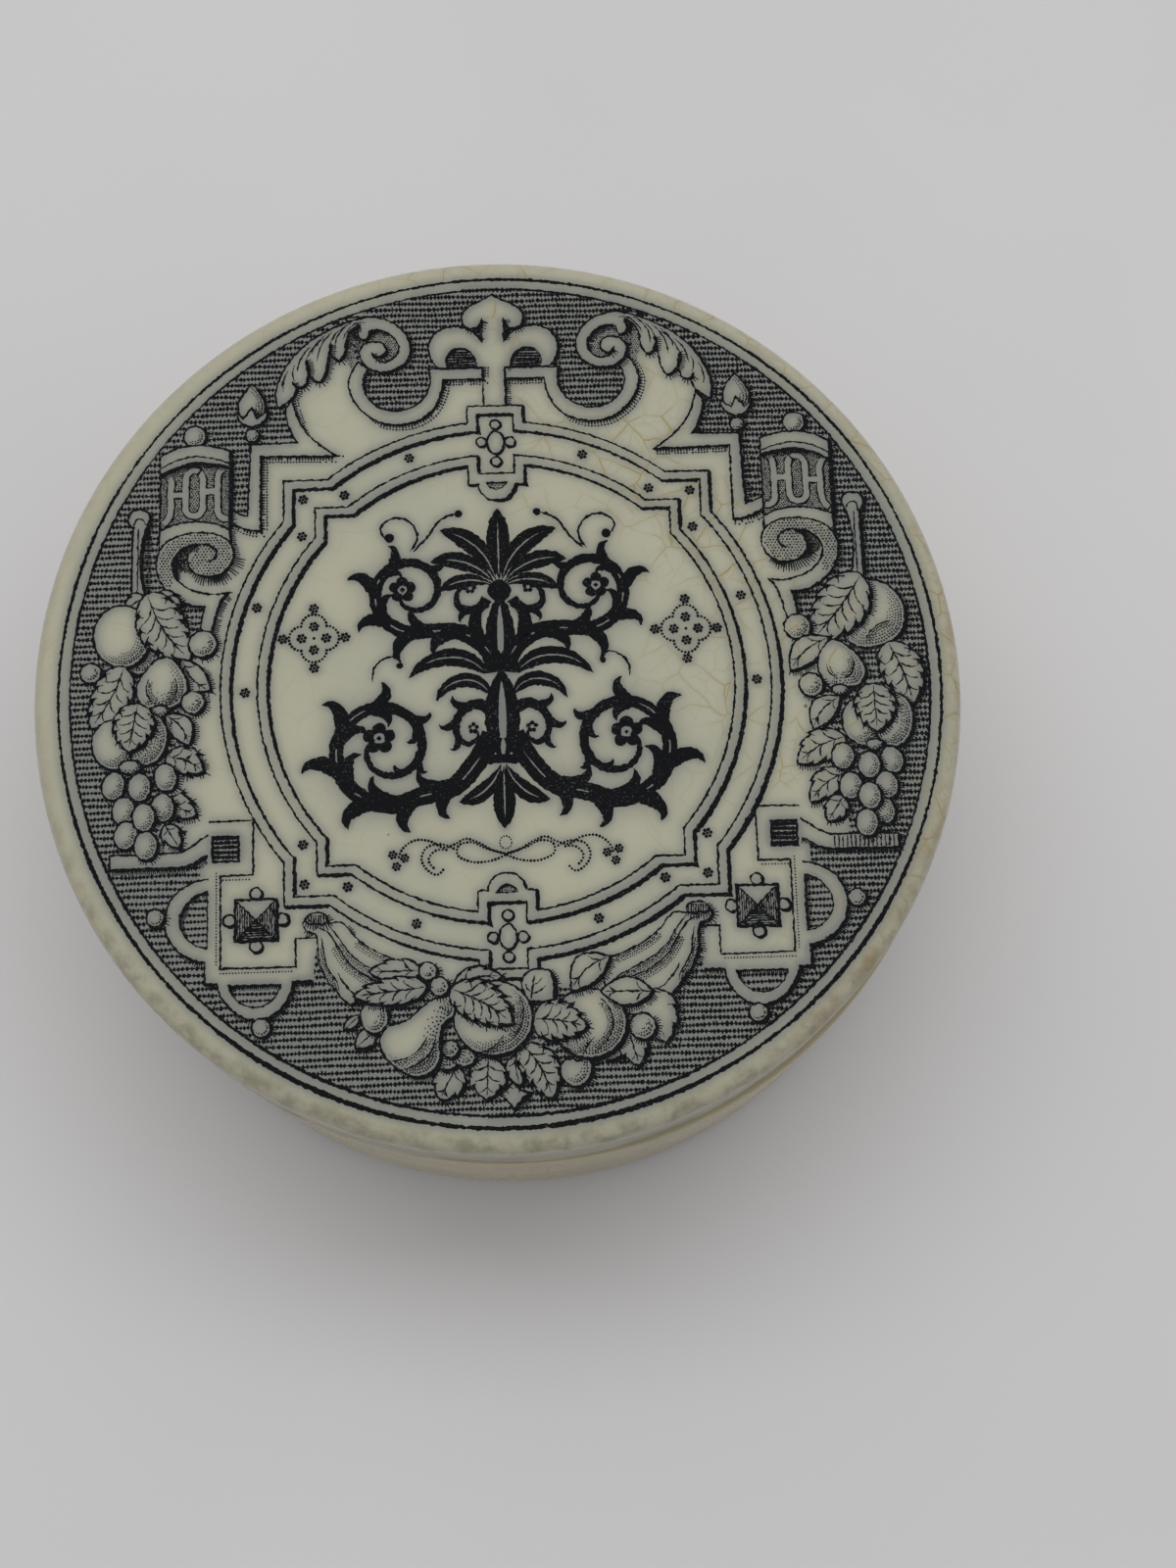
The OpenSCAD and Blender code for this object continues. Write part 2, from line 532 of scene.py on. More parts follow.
def leaf(base, tip, width, teeth=5, bend=0.0, veins=4, full=0.75):
    # A leaf along a bent axis. Its half width is width * sin(pi * t ** full) ** 0.7, cut by teeth that
    # point at the tip; a leaf with one tooth is smooth.
    rib, depth = 0.15, 0.12 if teeth > 1 else 0
    base, tip = placed([base])[0], placed([tip])[0]
    along = tip - base
    across = np.array([-along[1], along[0]])
    bend = bend * pen["side"] * pen["rise"]

    def at(t, side, grow=1.0, ahead=0.0):
        t = np.asarray(t, float)
        half = width / np.linalg.norm(along) * np.sin(np.pi * np.clip(t, 0, 1) ** full) ** 0.7 * grow
        return (base + (t + ahead)[:, None] * along
                + (bend * np.sin(np.pi * t) + side * half)[:, None] * across)

    k = np.arange(teeth)
    rows = []
    for side in (1, -1):
        notch = at(k / teeth + 0.001, side, 1 - depth)
        belly = at((k + 0.45) / teeth, side, 1.03)
        point = at((k + 0.97) / teeth, side, 1 + depth * 0.7, 0.045)
        rows.append(np.stack([notch, belly, point], axis=1).reshape(-1, 2)[:-1])
    edge = np.vstack([[base], rows[0][1:], [tip], rows[1][:0:-1]])
    marks = [(*p, 1) for p in edge * (pen["side"], pen["rise"])]
    if teeth == 1:
        marks = [(*p[:2], 1) if i in (0, len(marks) // 2) else p[:2] for i, p in enumerate(marks)]
    else:
        soft = {j for i in range(1, len(marks) // 2, 3) for j in (i, len(marks) - i)}
        marks = [p[:2] if i in soft else p for i, p in enumerate(marks)]
    lightShape(loop(marks))
    t = np.linspace(0.04, 0.9, 14)
    inkLine(even(at(t, 0)), rib, taper=1.2)
    for v in np.linspace(0.16, 0.68, veins) if veins else ():
        for side in (1, -1):
            s = np.linspace(0, 1, 6)[:, None]
            start, end = at([v], 0)[0], at([v + 0.15], side, 0.74)[0]
            mid = at([v + 0.14], side, 0.22)[0]
            sweep = (1 - s) ** 2 * start + 2 * (s * (1 - s)) * mid + s ** 2 * end
            inkLine(even(sweep), rib * 0.85, taper=0.45)
    for v in k[1:] / teeth if teeth > 1 else ():
        for side in (1, -1):
            inkLine(even(np.vstack([at([v], side, 1 - depth), at([v - 0.03], side, 0.72)])), rib, taper=0.3)


def bandRound(path, half):
    # The outline of a band of even width along an open line
    out, mitre = sideways(path, False)
    off = out * (half * mitre)[:, None]
    return np.vstack([path + off, (path - off)[::-1]])


def bandwork(lines, width):
    # Crossing bands joined into one: outlines first, then each band wiped clean inside
    paths = [curve(line) for line in lines]
    for path in paths:
        coverWith(bandRound(path, width / 2))
    for path in paths:
        edgeLine(turnedLeft(bandRound(path, width / 2)), 0.1, 0.1)
    for path in paths:
        coverWith(bandRound(path, width / 2 - 0.08))


def eachSide():
    # The pen works on the right first, then mirrored on the left, and comes back
    for side in (1, -1):
        pen["side"] = side
        yield side
    pen["side"] = 1


def mirrored(points):
    return [(-p[0], *p[1:]) for p in reversed(points) if p[0]]


def bothSides(points):
    # A closed outline from its right half, given from the top down
    return points + mirrored(points)


# Ground and rings

def drawGround():
    pen["layer"] = "ground"
    disc = ellipse(0, 0, 36.8, 36.8)
    hatchFill(disc)
    for radius, width, thicker in ((37.8, 0.25, 0.15), (36.82, 0.2, 0.08)):
        ring = ellipse(0, 0, radius, radius)
        near = np.clip(-ring[:, 1] / radius, 0, 1) * thicker
        swell = 1 + 0.35 * np.sin(np.linspace(0, 2 * np.pi * 9, len(ring)) + 1) * rng.random(len(ring))
        addRibbon(ring, (width + near) / 2 * swell, (width + near) / 2 * swell, closed=True)


# The light field behind the strapwork; its edge lies under the shapes that are drawn on it

fieldEdge = [
    (0, 28.3, 1), (4.6, 28.6, 1), (5.1, 27.2), (5.8, 25.8), (7, 24.8), (8.6, 24.5), (10.2, 24.8),
    (11.5, 26), (12.2, 27.5), (12.2, 29.4, 1), (12.4, 31.4), (12.6, 33.2), (15, 32.5), (17, 30.2),
    (18.6, 27.6), (18.2, 25.4, 1), (17.9, 23.8), (17.6, 22.1, 1), (21.3, 22, 1), (21.3, 15.2, 1),
    (23.5, 15.6, 1), (24.2, 11.5, 1), (26.2, 11.4, 1), (28.6, 11.6, 1), (28.2, 9.6), (26.4, 8.1),
    (25, 8.2, 1), (25.4, 5.6, 1), (26.6, 4.2), (27.2, 1), (27.6, -3), (28, -8), (29, -12), (29, -14.2, 1),
    (25.6, -14.3, 1), (25.6, -17, 1), (24.6, -17, 1), (24.6, -25, 1), (16.4, -25, 1), (16, -22.6, 1),
    (14.2, -25.6), (12.6, -26.4), (8, -26.6), (3, -26.4), (0, -26.3, 1),
]


def drawField():
    pen["layer"] = "border"
    coverWith(loop(bothSides(fieldEdge)))


def drawCrest():
    # Three-lobed finial on its stem, the same on both sides of the middle
    head = [
        (0, 36.35, 1), (0.7, 35.9), (1.7, 35.4), (2.45, 34.8), (2.75, 34), (2.5, 33.3), (1.85, 32.98),
        (1.3, 33.2), (0.97, 33.9, 1), (0.97, 31.65, 1), (1.5, 32.4), (2.2, 32.95), (3.3, 33.25),
        (4.5, 33.05), (5.4, 32.3), (5.75, 31.2), (5.5, 30), (4.85, 29.2, 1), (0.97, 29.2, 1),
        (0.97, 25.4, 1),
    ]
    lightShape(loop(bothSides(head)))
    for _ in eachSide():
        wedge = loop([(1.08, 33.6, 1), (1.08, 31.9, 1), (1.5, 32.5), (2.1, 33, 1), (1.5, 33.15)])
        stippleFill(wedge, pitch=0.17, size=0.09)
        arch = loop([(4.1, 29.3, 1), (4.2, 30.1), (3.75, 30.85), (3, 31.12), (2.2, 30.85), (1.65, 30.1),
                     (1.5, 29.3, 1)])
        hatchFill(arch, pitch=0.25, line=0.2, bead=0.5, low=0.9)
        edgeLine(arch, 0.16, 0.2, outward=-1)


def drawTopScroll():
    # Shelf, open U-shaped scroll and the volute above it
    shelf = loop([
        (1, 29.15, 1), (5.8, 29.15, 1), (5.62, 27.9), (5.95, 26.8), (6.9, 25.75), (8.4, 25.22),
        (9.9, 25.45), (11, 26.35), (11.55, 27.5), (11.5, 28.5), (11.1, 29.3, 1), (12, 30, 1), (12.5, 29.2),
        (12.85, 28.1), (12.6, 26.7), (11.6, 25.2), (10.2, 24.2), (8.6, 23.9), (6.8, 24.25), (5.5, 25.2),
        (4.8, 26.5), (4.45, 28.1, 1), (1, 28.1, 1),
    ])
    lightShape(shelf, shade=0.14, fringed=0)
    fringe(shelf, 0.5)
    hollow = loop([(12.3, 32.6), (10.9, 33.1), (9.2, 32.7), (8.4, 31.3), (9, 29.9), (10.5, 29.9), (11.8, 31)])
    coverWith(hollow)
    stippleFill(hollow, pitch=0.21, size=0.07)
    spiral = [
        (13.2, 34.3, 1), (11.6, 34.4), (10.2, 34.3), (8.8, 33.7), (7.75, 32.6), (7.35, 31.2), (7.65, 30.1),
        (8.6, 29.3), (9.8, 29), (10.9, 29.3), (11.7, 30.1), (11.85, 31.1), (11.3, 31.8), (10.5, 31.95),
        (9.8, 31.7), (9.5, 31.15), (9.75, 30.6), (10.3, 30.45), (10.75, 30.85, 1), (10.3, 30.15),
        (9.7, 29.95), (9, 30.2), (8.5, 30.75), (8.4, 31.5), (8.75, 32.2), (9.5, 32.85), (10.5, 33.1),
        (11.4, 32.95), (12.2, 32.4, 1), (12.4, 33.3),
    ]
    lightShape(loop(spiral))


def drawAcanthus():
    # Four rolled lobes that flow out of the volute; the rolled end of its band hangs beside the first one
    recess = loop([(12, 33.45, 1), (12.7, 33.1), (13, 32), (13.1, 31), (12.9, 30.1), (12.5, 29, 1),
                   (12.3, 30.4), (11.9, 31.6), (12.05, 32.9)])
    stippleFill(recess, pitch=0.2, size=0.066)
    body = [
        (11, 34.4, 1), (12.2, 34.15), (13.6, 33.65), (15.2, 32.85), (16.8, 31.7), (18.1, 30.2), (19, 28.5),
        (19.3, 27.1), (19.1, 25.8, 1), (18.45, 26.2), (17.75, 26.9), (17.5, 27.6, 1), (17.75, 28.2),
        (17.35, 27.75), (16.8, 27.85), (16.5, 28.6), (16.6, 30.3, 1), (16.45, 29.2), (15.95, 28.45),
        (15.4, 28.2), (14.95, 28.9), (14.7, 30.2), (14.45, 31.9, 1), (14.45, 31.1), (14.15, 30.45),
        (13.75, 30.25), (13.25, 30.8), (13.05, 32), (12.8, 32.9), (12.15, 33.5), (11.5, 33.75, 1),
        (11.85, 33.4), (12, 32.8), (11.75, 32.25), (11.3, 32.2), (11, 32.8, 1), (10.9, 33.3),
    ]
    lightShape(loop(body), shade=0.2, fringed=0.6)
    coverWith(loop([(10.4, 34.25), (11.6, 34.15), (11.6, 33.2), (10.5, 33.25)]))
    for vein in ([(11.3, 33.85), (12.2, 33.75), (12.9, 33.1), (13.3, 32.3)],
                 [(12.6, 33.85), (13.5, 33.1), (13.95, 32.2), (14, 31.3)],
                 [(14.45, 31.9), (14.2, 32.5), (13.6, 33.2)],
                 [(14.3, 33), (15.1, 32), (15.5, 31), (15.6, 30.2)],
                 [(14.9, 32.7), (15.8, 31.7), (16.1, 30.9)],
                 [(16.6, 30.3), (16.3, 31), (15.7, 31.8), (15, 32.4)],
                 [(16.2, 31.6), (16.9, 30.8), (17.3, 29.9), (17.4, 29.3)],
                 [(17.6, 28.3), (17.8, 29), (17.6, 29.9)], [(18.6, 27.3), (18.6, 28.3), (18.2, 29.3)]):
        inkLine(curve(vein), 0.13, taper=0.7)


def drawStepStrap():
    strap = [
        (18.45, 25.7, 1), (18.2, 24.2), (17.4, 22.5, 1), (21.5, 22.4, 1), (21.75, 15.75, 1), (22.5, 16),
        (23.3, 16.5, 1), (23.3, 15.3, 1), (22.2, 14.65), (20.6, 14.35, 1), (20.6, 21.25, 1),
        (13.9, 21.1, 1), (15.2, 22), (16.5, 23.3), (17.4, 24.9), (17.85, 26.6, 1),
    ]
    path = loop(strap)
    lightShape(path, shade=0.14, fringed=0)
    fringe(path, 0.55)


def drawBud():
    body = loop([(21.4, 28.15, 1), (22.1, 27.3), (22.6, 26.2), (22.3, 25), (21.4, 24.7), (20.5, 25),
                 (20.25, 26.2), (20.7, 27.3)])
    lightShape(body)
    shadeRows(body, rows=3, gap=0.26, pitch=0.16, start=0.25)
    lightShape(loop([(22.75, 25.5, 1), (22.15, 24.95, 1), (21.4, 25.85, 1), (20.95, 24.9, 1),
                     (19.95, 25.6, 1), (20.3, 24.7), (21.3, 24.1), (22.3, 24.5)]))
    roundShape(21.35, 23.3, 0.6, rows=1, start=0.2)
    roundShape(26.4, 23.35, 0.98, rows=2, start=0.3)


def drawColumn():
    drum = loop([(29.35, 20.5, 1), (23.3, 20.5, 1), (23.3, 14.5, 1), (29.35, 14.5, 1)])
    lightShape(drum, shade=0.42)
    stippleFill(drum, pitch=0.21, size=0.08)
    ring = [
        (25.95, 20), (25.7, 19.6), (25.65, 18.9), (25.65, 18), (25.65, 17.1), (25.7, 16.4), (25.95, 16.05),
        (26.4, 15.9), (26.85, 16.05), (27.1, 16.4), (27.15, 17.1), (27.15, 18), (27.15, 18.9),
        (27.1, 19.6), (26.85, 20), (26.4, 20.15), (25.95, 20),
    ]
    bandwork([
        ring, [(24.4, 18.15), (25.65, 18.15)], [(27.15, 17.9), (28.45, 17.9)],
        [(23.55, 20.35), (24.05, 20.15), (24.3, 19.7), (24.35, 19), (24.35, 17), (24.25, 16), (23.9, 15.65),
         (23.4, 15.6)],
        [(29.15, 20.1), (28.7, 19.7), (28.45, 19.2), (28.45, 18), (28.45, 16.5), (28.6, 15.8), (29.1, 15.2)],
    ], 0.62)
    cap = loop([
        (29.4, 21.5, 1), (28, 22.25), (26.4, 22.5), (24.8, 22.35), (23.3, 21.9, 1), (23.3, 20.35, 1),
        (24.7, 20.7), (26.3, 20.85), (27.9, 20.5), (29.4, 19.75, 1),
    ])
    lightShape(cap, shade=0.3)
    inkLine(curve([(29.3, 20.4), (27.9, 21.15), (26.3, 21.45), (24.7, 21.2), (23.4, 20.75)]), 0.13)
    band = loop([(29.35, 14.6, 1), (27.8, 15.2), (26.3, 15.35), (24.7, 15.15), (23.3, 14.55, 1),
                 (23.2, 13, 1), (29.4, 12.8, 1)])
    lightShape(band)


def drawSideVolute():
    # Stippled volute under the column, and the strap that runs down from it
    hollow = loop([(28.4, 11.8), (27.7, 12.8), (26.4, 13.4), (25.4, 13.3), (26.6, 11.5), (26, 10.6),
                   (27.2, 9.8), (28.2, 10.6)])
    coverWith(hollow)
    stippleFill(loop([(28.3, 11.9), (27.6, 12.8), (26.4, 13.3), (26.7, 11.6), (26.2, 10.5), (27.4, 10.9)]),
                pitch=0.17, size=0.085)
    ribbon = [
        (25.75, 5.6, 1), (25.4, 7.55, 1), (26.5, 7.7), (28, 8.5), (29.1, 9.7), (29.6, 11.1), (29.5, 12.4),
        (28.9, 13.4), (27.6, 14.1), (26, 14.35), (24.4, 14.1), (23.3, 13.4), (22.95, 12.3), (23.3, 11.2),
        (24.2, 10.45), (25.3, 10.3), (26.3, 10.7), (26.9, 11.6), (26.6, 12.7), (25.8, 13.25, 1),
        (26.8, 13.15), (27.8, 12.5), (28.25, 11.6), (28.1, 10.6), (27.3, 9.6), (26, 8.9), (24.6, 8.65),
        (23.4, 8.75, 1), (24, 8), (24.4, 6.8), (24.9, 4.8, 1),
    ]
    path = loop(ribbon)
    lightShape(path, shade=0.12)
    part = loop([
        (29, 9.8), (29.4, 11.2), (29.3, 12.4), (28.7, 13.3), (27.4, 13.95), (26, 14.2), (24.5, 13.95),
        (23.5, 13.3), (23.15, 12.3), (23.5, 11.3), (24.3, 10.6), (25.3, 10.5), (26.2, 10.9), (26.7, 11.7),
        (26.2, 12.7), (25.8, 13.05, 1), (26.8, 13.3), (28, 12.6), (28.45, 11.6), (28.3, 10.6), (28.2, 9.3),
    ])
    stippleFill(part, pitch=0.29, size=0.085, jitter=0.12)
    inkLine(curve([(25.8, 13.3), (24.95, 13.1), (24.4, 12.5), (24.65, 11.85), (25.3, 11.65)]), 0.2, taper=0.4)
    below = loop([(21.4, 11.9, 1), (27.8, 11.9, 1), (27.4, 9.2, 1), (21.4, 9.2, 1)])
    burr(path, 1.1, keep=below, pitch=0.18)


def drawHook():
    # A rod with two rolls, curled over at its head
    lightShape(loop([(30.5, 8.6, 1), (30.5, 15), (30.2, 15.8), (30.45, 16.4), (31.1, 16.65), (31.8, 16.45),
                     (32.1, 15.8), (31.95, 15.2), (31.7, 14.9, 1), (31.7, 8.6, 1)]), shade=0.3)
    inkLine(curve([(31.2, 8.8), (31.2, 14.9)]), 0.12, taper=0.3)
    inkLine(curve([(30.6, 15.2), (30.9, 15.7), (31.3, 15.75), (31.55, 15.4), (31.5, 14.9)]), 0.13)
    burr(curve([(30.5, 8.8), (30.5, 15)]), 0.5, False, -1)


def drawLowerBlock():
    # Squared strap round the jewel, with a half ring at its foot and another at its outer side
    ledge = loop([
        (24.6, -12.4, 1), (25.4, -12.9), (26.4, -13.6), (27.6, -14.05, 1), (33.2, -14.1, 1),
        (33.2, -15.3, 1), (27.6, -15.3, 1), (26.2, -15), (25.2, -14.4), (24.6, -14.2, 1),
    ])
    lightShape(ledge)
    outer = [
        (24.9, -11.4, 1), (24.9, -16.4, 1), (26.3, -16.65), (27.8, -17.7), (28.5, -19.3), (28.4, -20.9),
        (27.5, -22.3), (26.3, -23.1), (25.2, -23.4, 1), (25.2, -25.2, 1), (24.2, -25.2, 1), (23.5, -26.8),
        (22.3, -27.9), (20.9, -28.3), (19.5, -27.9), (18.4, -26.8), (17.9, -25.2, 1), (16.2, -25.2, 1),
        (16.2, -20.5, 1), (18.6, -19, 1), (20.6, -14, 1), (21.2, -11.4, 1),
    ]
    path = loop(outer)
    coverWith(path)
    foot = curve(outer[1:18])
    edgeLine(foot, shade=0.24, closed=False, outward=-1)
    burr(foot, 0.6, False, -1)
    for hollow in ([(25, -17.4, 1), (26.3, -18), (27.2, -19.2), (27.3, -20.2), (26.7, -21.3), (25.6, -22.1),
                    (25, -22.2, 1)],
                   [(18.9, -25.4, 1), (23.2, -25.4, 1), (22.9, -26.2), (22, -27), (21, -27.25), (20, -27),
                    (19.2, -26.2)]):
        shape = loop(hollow)
        hatchFill(shape, line=0.34)
        edgeLine(shape, 0.12, outward=-1, shade=0.2)
        burr(shape, 0.45, outward=-1)
    inner = curve([(24.9, -11.5), (21.15, -11.45, 1), (21.2, -16.1, 1), (23.9, -16.15, 1), (23.9, -23.95, 1),
                   (17.65, -24, 1), (17.65, -21.6, 1), (16, -21.6)])
    inkLine(inner, 0.17)
    for line in ([(21.5, -16.5), (23.7, -16.5)], [(24.25, -15.9), (24.25, -23.6)],
                 [(18, -24.35), (23.9, -24.35)]):
        dotted(curve(line), 0.26, 0.075)
    dark = loop([(22.4, -12.8, 1), (24.6, -12.8, 1), (24.6, -14.9, 1), (22.4, -14.9, 1)])
    hatchFill(dark, pitch=0.4, line=0.36, low=0.7)
    inkLine(dark, 0.22, closed=True)
    drawJewel(20.95, -19.95)
    roundShape(29.35, -19.5, 0.75, rows=1, start=0.25)
    roundShape(20.55, -28.95, 0.78, rows=1, start=0.25)


def drawJewel(x, y):
    # Cut stone: a pyramid on a square, its upper face bare and the others hatched along their edges
    s = 1.72
    for px, py in ((0, 1), (0, -1), (1, 0), (-1, 0)):
        roundShape(x + px * (s + 0.5), y + py * (s + 0.5), 0.5, rows=0, shade=0.16)
    square = loop([(x - s, y - s, 1), (x + s, y - s, 1), (x + s, y + s, 1), (x - s, y + s, 1)])
    lightShape(square, line=0.24, shade=0.12, fringed=0)
    for k in range(1, 9):
        q = s * (1 - k * 0.115)
        width = 0.09 + 0.008 * k
        inkLine(curve([(x - q, y + q), (x - q, y - q)]), width)
        inkLine(curve([(x + q, y - q), (x + q, y + q)]), width)
        inkLine(curve([(x - q, y - q), (x + q, y - q)]), width + 0.05)
    for px, py in ((-1, 1), (1, 1), (-1, -1), (1, -1)):
        inkLine(curve([(x + px * s, y + py * s), (x, y)]), 0.14)


def drawDrapery():
    # Folds of cloth that hang from a knot and run in under the festoon
    body = loop([
        (16.85, -20), (17.05, -20.5), (16.85, -20.95), (16.05, -21.3), (15.85, -22), (15.8, -23.4),
        (15.4, -24.5), (14.75, -25.6), (14.35, -26, 1), (14.05, -26.5), (13.6, -27), (13.1, -27.3, 1),
        (12.6, -26.9, 1), (11, -27.2), (8, -26.9, 1), (7.6, -24.2, 1), (8.8, -23.9), (10, -23.4),
        (11.4, -22.7), (12.75, -21.6), (13.5, -20.65), (13.9, -20.35, 1), (15, -20.4, 1),
    ])
    lightShape(body, 0.14, 0.2)
    top = curve([(13.5, -20.65), (12.75, -21.6), (11.4, -22.7), (10, -23.4), (8.8, -23.9)])
    narrow = curve([(14.95, -20.6), (14.1, -21.65), (13.2, -23), (12, -24), (10.65, -24.75), (9.2, -25.5),
                    (8.2, -26.2)])
    wide = curve([(16, -20.75), (15.1, -21.1), (14.2, -22.3), (13.2, -23.9), (12, -24.85), (10.65, -25.5),
                  (9.6, -25.7)])
    edge = curve([(15.55, -21.6), (15.35, -22.65), (15.2, -23.75), (14.6, -24.85), (14.25, -25.4),
                  (14.1, -26.1)])
    turn = curve([(14.15, -24.6), (13.95, -25.1), (13.5, -25.7), (12.85, -26.4), (12, -26.8)])
    for path, width in ((narrow, 0.13), (wide, 0.15), (edge, 0.14), (turn, 0.15)):
        inkLine(path, width, taper=0.8)
    for path, start in ((top, 0.3), (narrow, 0.2), (wide, 0.3), (edge, 0.2)):
        part = path[int(len(path) * start):]
        shadeRows(part, 3, 0.2, 0.21, 0.08, 0.19, -1, 0.75)
    knot = loop([(14.95, -20.2, 1), (15.1, -19.8), (15.85, -19.5), (16.6, -19.7), (16.9, -20.2, 1),
                 (16.4, -20.42), (15.9, -20.38), (15.4, -20.45)])
    lightShape(knot, 0.16, 0.1)
    for x in np.arange(15.1, 16.9, 0.21):
        inkLine(curve([(x, -20.4), (x + 0.02, -19.7)]), 0.11, keep=knot)


# Cartouche

def framePath(radius, wide, high):
    # The outline of a disc joined with a square, both about the middle: four arcs, and a corner after each
    wideMeet, highMeet = np.sqrt(radius**2 - wide**2), np.sqrt(radius**2 - high**2)
    right, top = np.degrees(np.arcsin(wideMeet / radius)), np.degrees(np.arccos(highMeet / radius))
    arcs = ((-right, right), (top, 180 - top), (180 - right, 180 + right), (180 + top, 360 - top))
    corners = ((wide, high), (-wide, high), (-wide, -high), (wide, -high))
    ends = ((highMeet, high), (-wide, wideMeet), (-highMeet, -high), (wide, -wideMeet))
    parts = []
    for (start, stop), corner, end in zip(arcs, corners, ends):
        arc = ellipse(0, 0, radius, radius, 0, start, stop)
        parts += [arc, even(np.array([arc[-1], corner])), even(np.array([corner, end]))]
    return np.vstack([p[:-1] for p in parts])


def drawCartouche():
    # Four frame lines, two for each raised fillet, with rosettes in the band between the fillets
    pen["layer"] = "border"
    coverWith(framePath(24, 18.6, 18.9))
    for outer, inner in (((24, 18.6, 18.9), (23.15, 17.8, 18.1)), ((20.85, 15.85, 16.3), (20, 15.05, 15.55))):
        edgeLine(framePath(*outer), 0.17, 0.3)
        edgeLine(framePath(*inner), 0.18, 0.28, outward=-1)
    for _ in eachSide():
        for rise in (1, -1):
            pen["rise"] = rise
            for x, y in ((7.6, 20.7), (13.3, 17.4), (16.9, 17.1), (17, 13.7)):
                rosette(x, y)
        pen["rise"] = 1
        for x, y in ((20.9, 7.3), (21.9, -0.3)):
            rosette(x, y)


def drawClasp(rise):
    # The frame's fillets step out round a plate, open to the band at its sides, with a half-round tab
    # inwards; on the plate an oval jewel sits among four pearls
    pen["rise"] = rise
    coverWith(loop(bothSides([(2.45, 25.5, 1), (2.45, 18.1, 1), (1.6, 18.05, 1), (1.3, 17.25), (0.75, 16.75),
                              (0, 16.6)])))
    halves = (([(2.45, 25.5, 1), (2.45, 23.87)], -1),
              ([(1.6, 24.7, 1), (1.6, 23.1, 1), (2.5, 23.02)], 1),
              ([(1.6, 19.1, 1), (1.6, 20.79, 1), (2.5, 20.7)], -1),
              ([(0, 16.6), (0.75, 16.75), (1.3, 17.25), (1.6, 18.05, 1), (2.45, 18.1, 1), (2.45, 19.85)], 1))
    for half, outward in halves:
        edgeLine(curve(mirrored(half) + half), 0.17, 0.28, outward=outward, closed=False)
    lens = loop([(-0.9, 18.25, 1), (0.9, 18.25, 1), (0.45, 17.75), (0, 17.6), (-0.45, 17.75)])
    stippleFill(lens, pitch=0.2, size=0.075)
    edgeLine(lens, 0.12, 0.14, outward=-1)
    for x, y in ((0, 23.7), (0, 20.2), (1.25, 22.05), (-1.25, 22.05)):
        roundShape(x, y, 0.45, rows=0, shade=0.12)
    lightShape(ellipse(0, 22, 0.72, 1.08), shade=0.12, fringed=0)
    pen["rise"] = 1


# Fruit

def grapes(high, places):
    # A place is the middle of a grape and how many degrees it leans
    for x, y, tilt in places:
        roundShape(x, y, 0.98, high, tilt, rows=3, gap=0.18, start=0.28, size=0.074)


def drawLeftSwag():
    pen["layer"] = "fruit"
    leaf((-29.6, 8.9), (-27.6, 6.4), 1.2, 3, veins=1)
    leaf((-30.6, 8.6), (-32.2, 7.6), 0.8, 2, veins=0)
    roundShape(-35.1, 1.9, 0.9, rows=2)
    roundShape(-30.9, 3.6, 1.95, rows=3)
    roundShape(-32.45, 5.1, 2.45, 2.8, 8, rows=5)
    leaf((-30.4, 8.9), (-26.6, 2.8), 1.9, 6, bend=-0.07, veins=5)
    roundShape(-25.55, 4.2, 1.2, rows=3)
    leaf((-32.2, 2.4), (-35, -3), 1.6, 5, bend=0.05)
    leaf((-27.3, 2.9), (-24.9, 0), 1.15, 1, bend=-0.12, veins=2)
    fruitShape([
        (-28.4, 3.1), (-27.3, 1.9), (-26.8, 0.4), (-27.3, -0.9), (-28.4, -1.5), (-29.4, -1.3),
        (-30.3, -1.4), (-31.1, -0.4), (-31.1, 0.8), (-30.3, 2), (-29.5, 2.9),
    ], 5)
    crease([(-30.1, 1.2), (-30.3, 0.2), (-29.9, -0.7), (-29.3, -1.3)], 2, -1)
    crease([(-27.9, 1.2), (-27.7, 0.1), (-28.1, -0.8), (-28.8, -1.3)], 2)
    roundShape(-26.35, -1, 1, rows=3, gap=0.22)
    roundShape(-29.1, -1.65, 0.75, 0.5, rows=2, gap=0.16, start=0.15)
    leaf((-28.7, -2), (-26.6, -4.8), 1, 1, bend=0.12, veins=2)
    leaf((-28.6, -5.7), (-25.4, -7.1), 1.15, 3, bend=0.1, veins=3)
    leaf((-28.6, -8.6), (-26, -10.9), 1.1, 3, bend=-0.1, veins=3)
    roundShape(-33, -4.5, 1.9, 2.2, 8, rows=4)
    roundShape(-30.2, -4.1, 1.75, 2.3, -8, rows=4)
    crease([(-31.9, -3.2), (-31.5, -4.8), (-31.6, -6.2)], 2)
    leaf((-31, -0.9), (-31.8, -5.2), 1.65, 5)
    roundShape(-31.6, -6.5, 0.95, 0.6, rows=2, gap=0.16, start=0.15)
    grapes(1.24, ((-28.6, -7.5, 10), (-33, -8.1, -8), (-30.8, -8.3, 0), (-28.8, -10.1, 8),
                  (-32.1, -10.3, -6), (-31.9, -12.4, -12), (-30.4, -10.9, 0), (-30.2, -13.35, 0)))
    leaf((-28.6, -11.6), (-27.4, -13.6), 0.8, 2, veins=1)


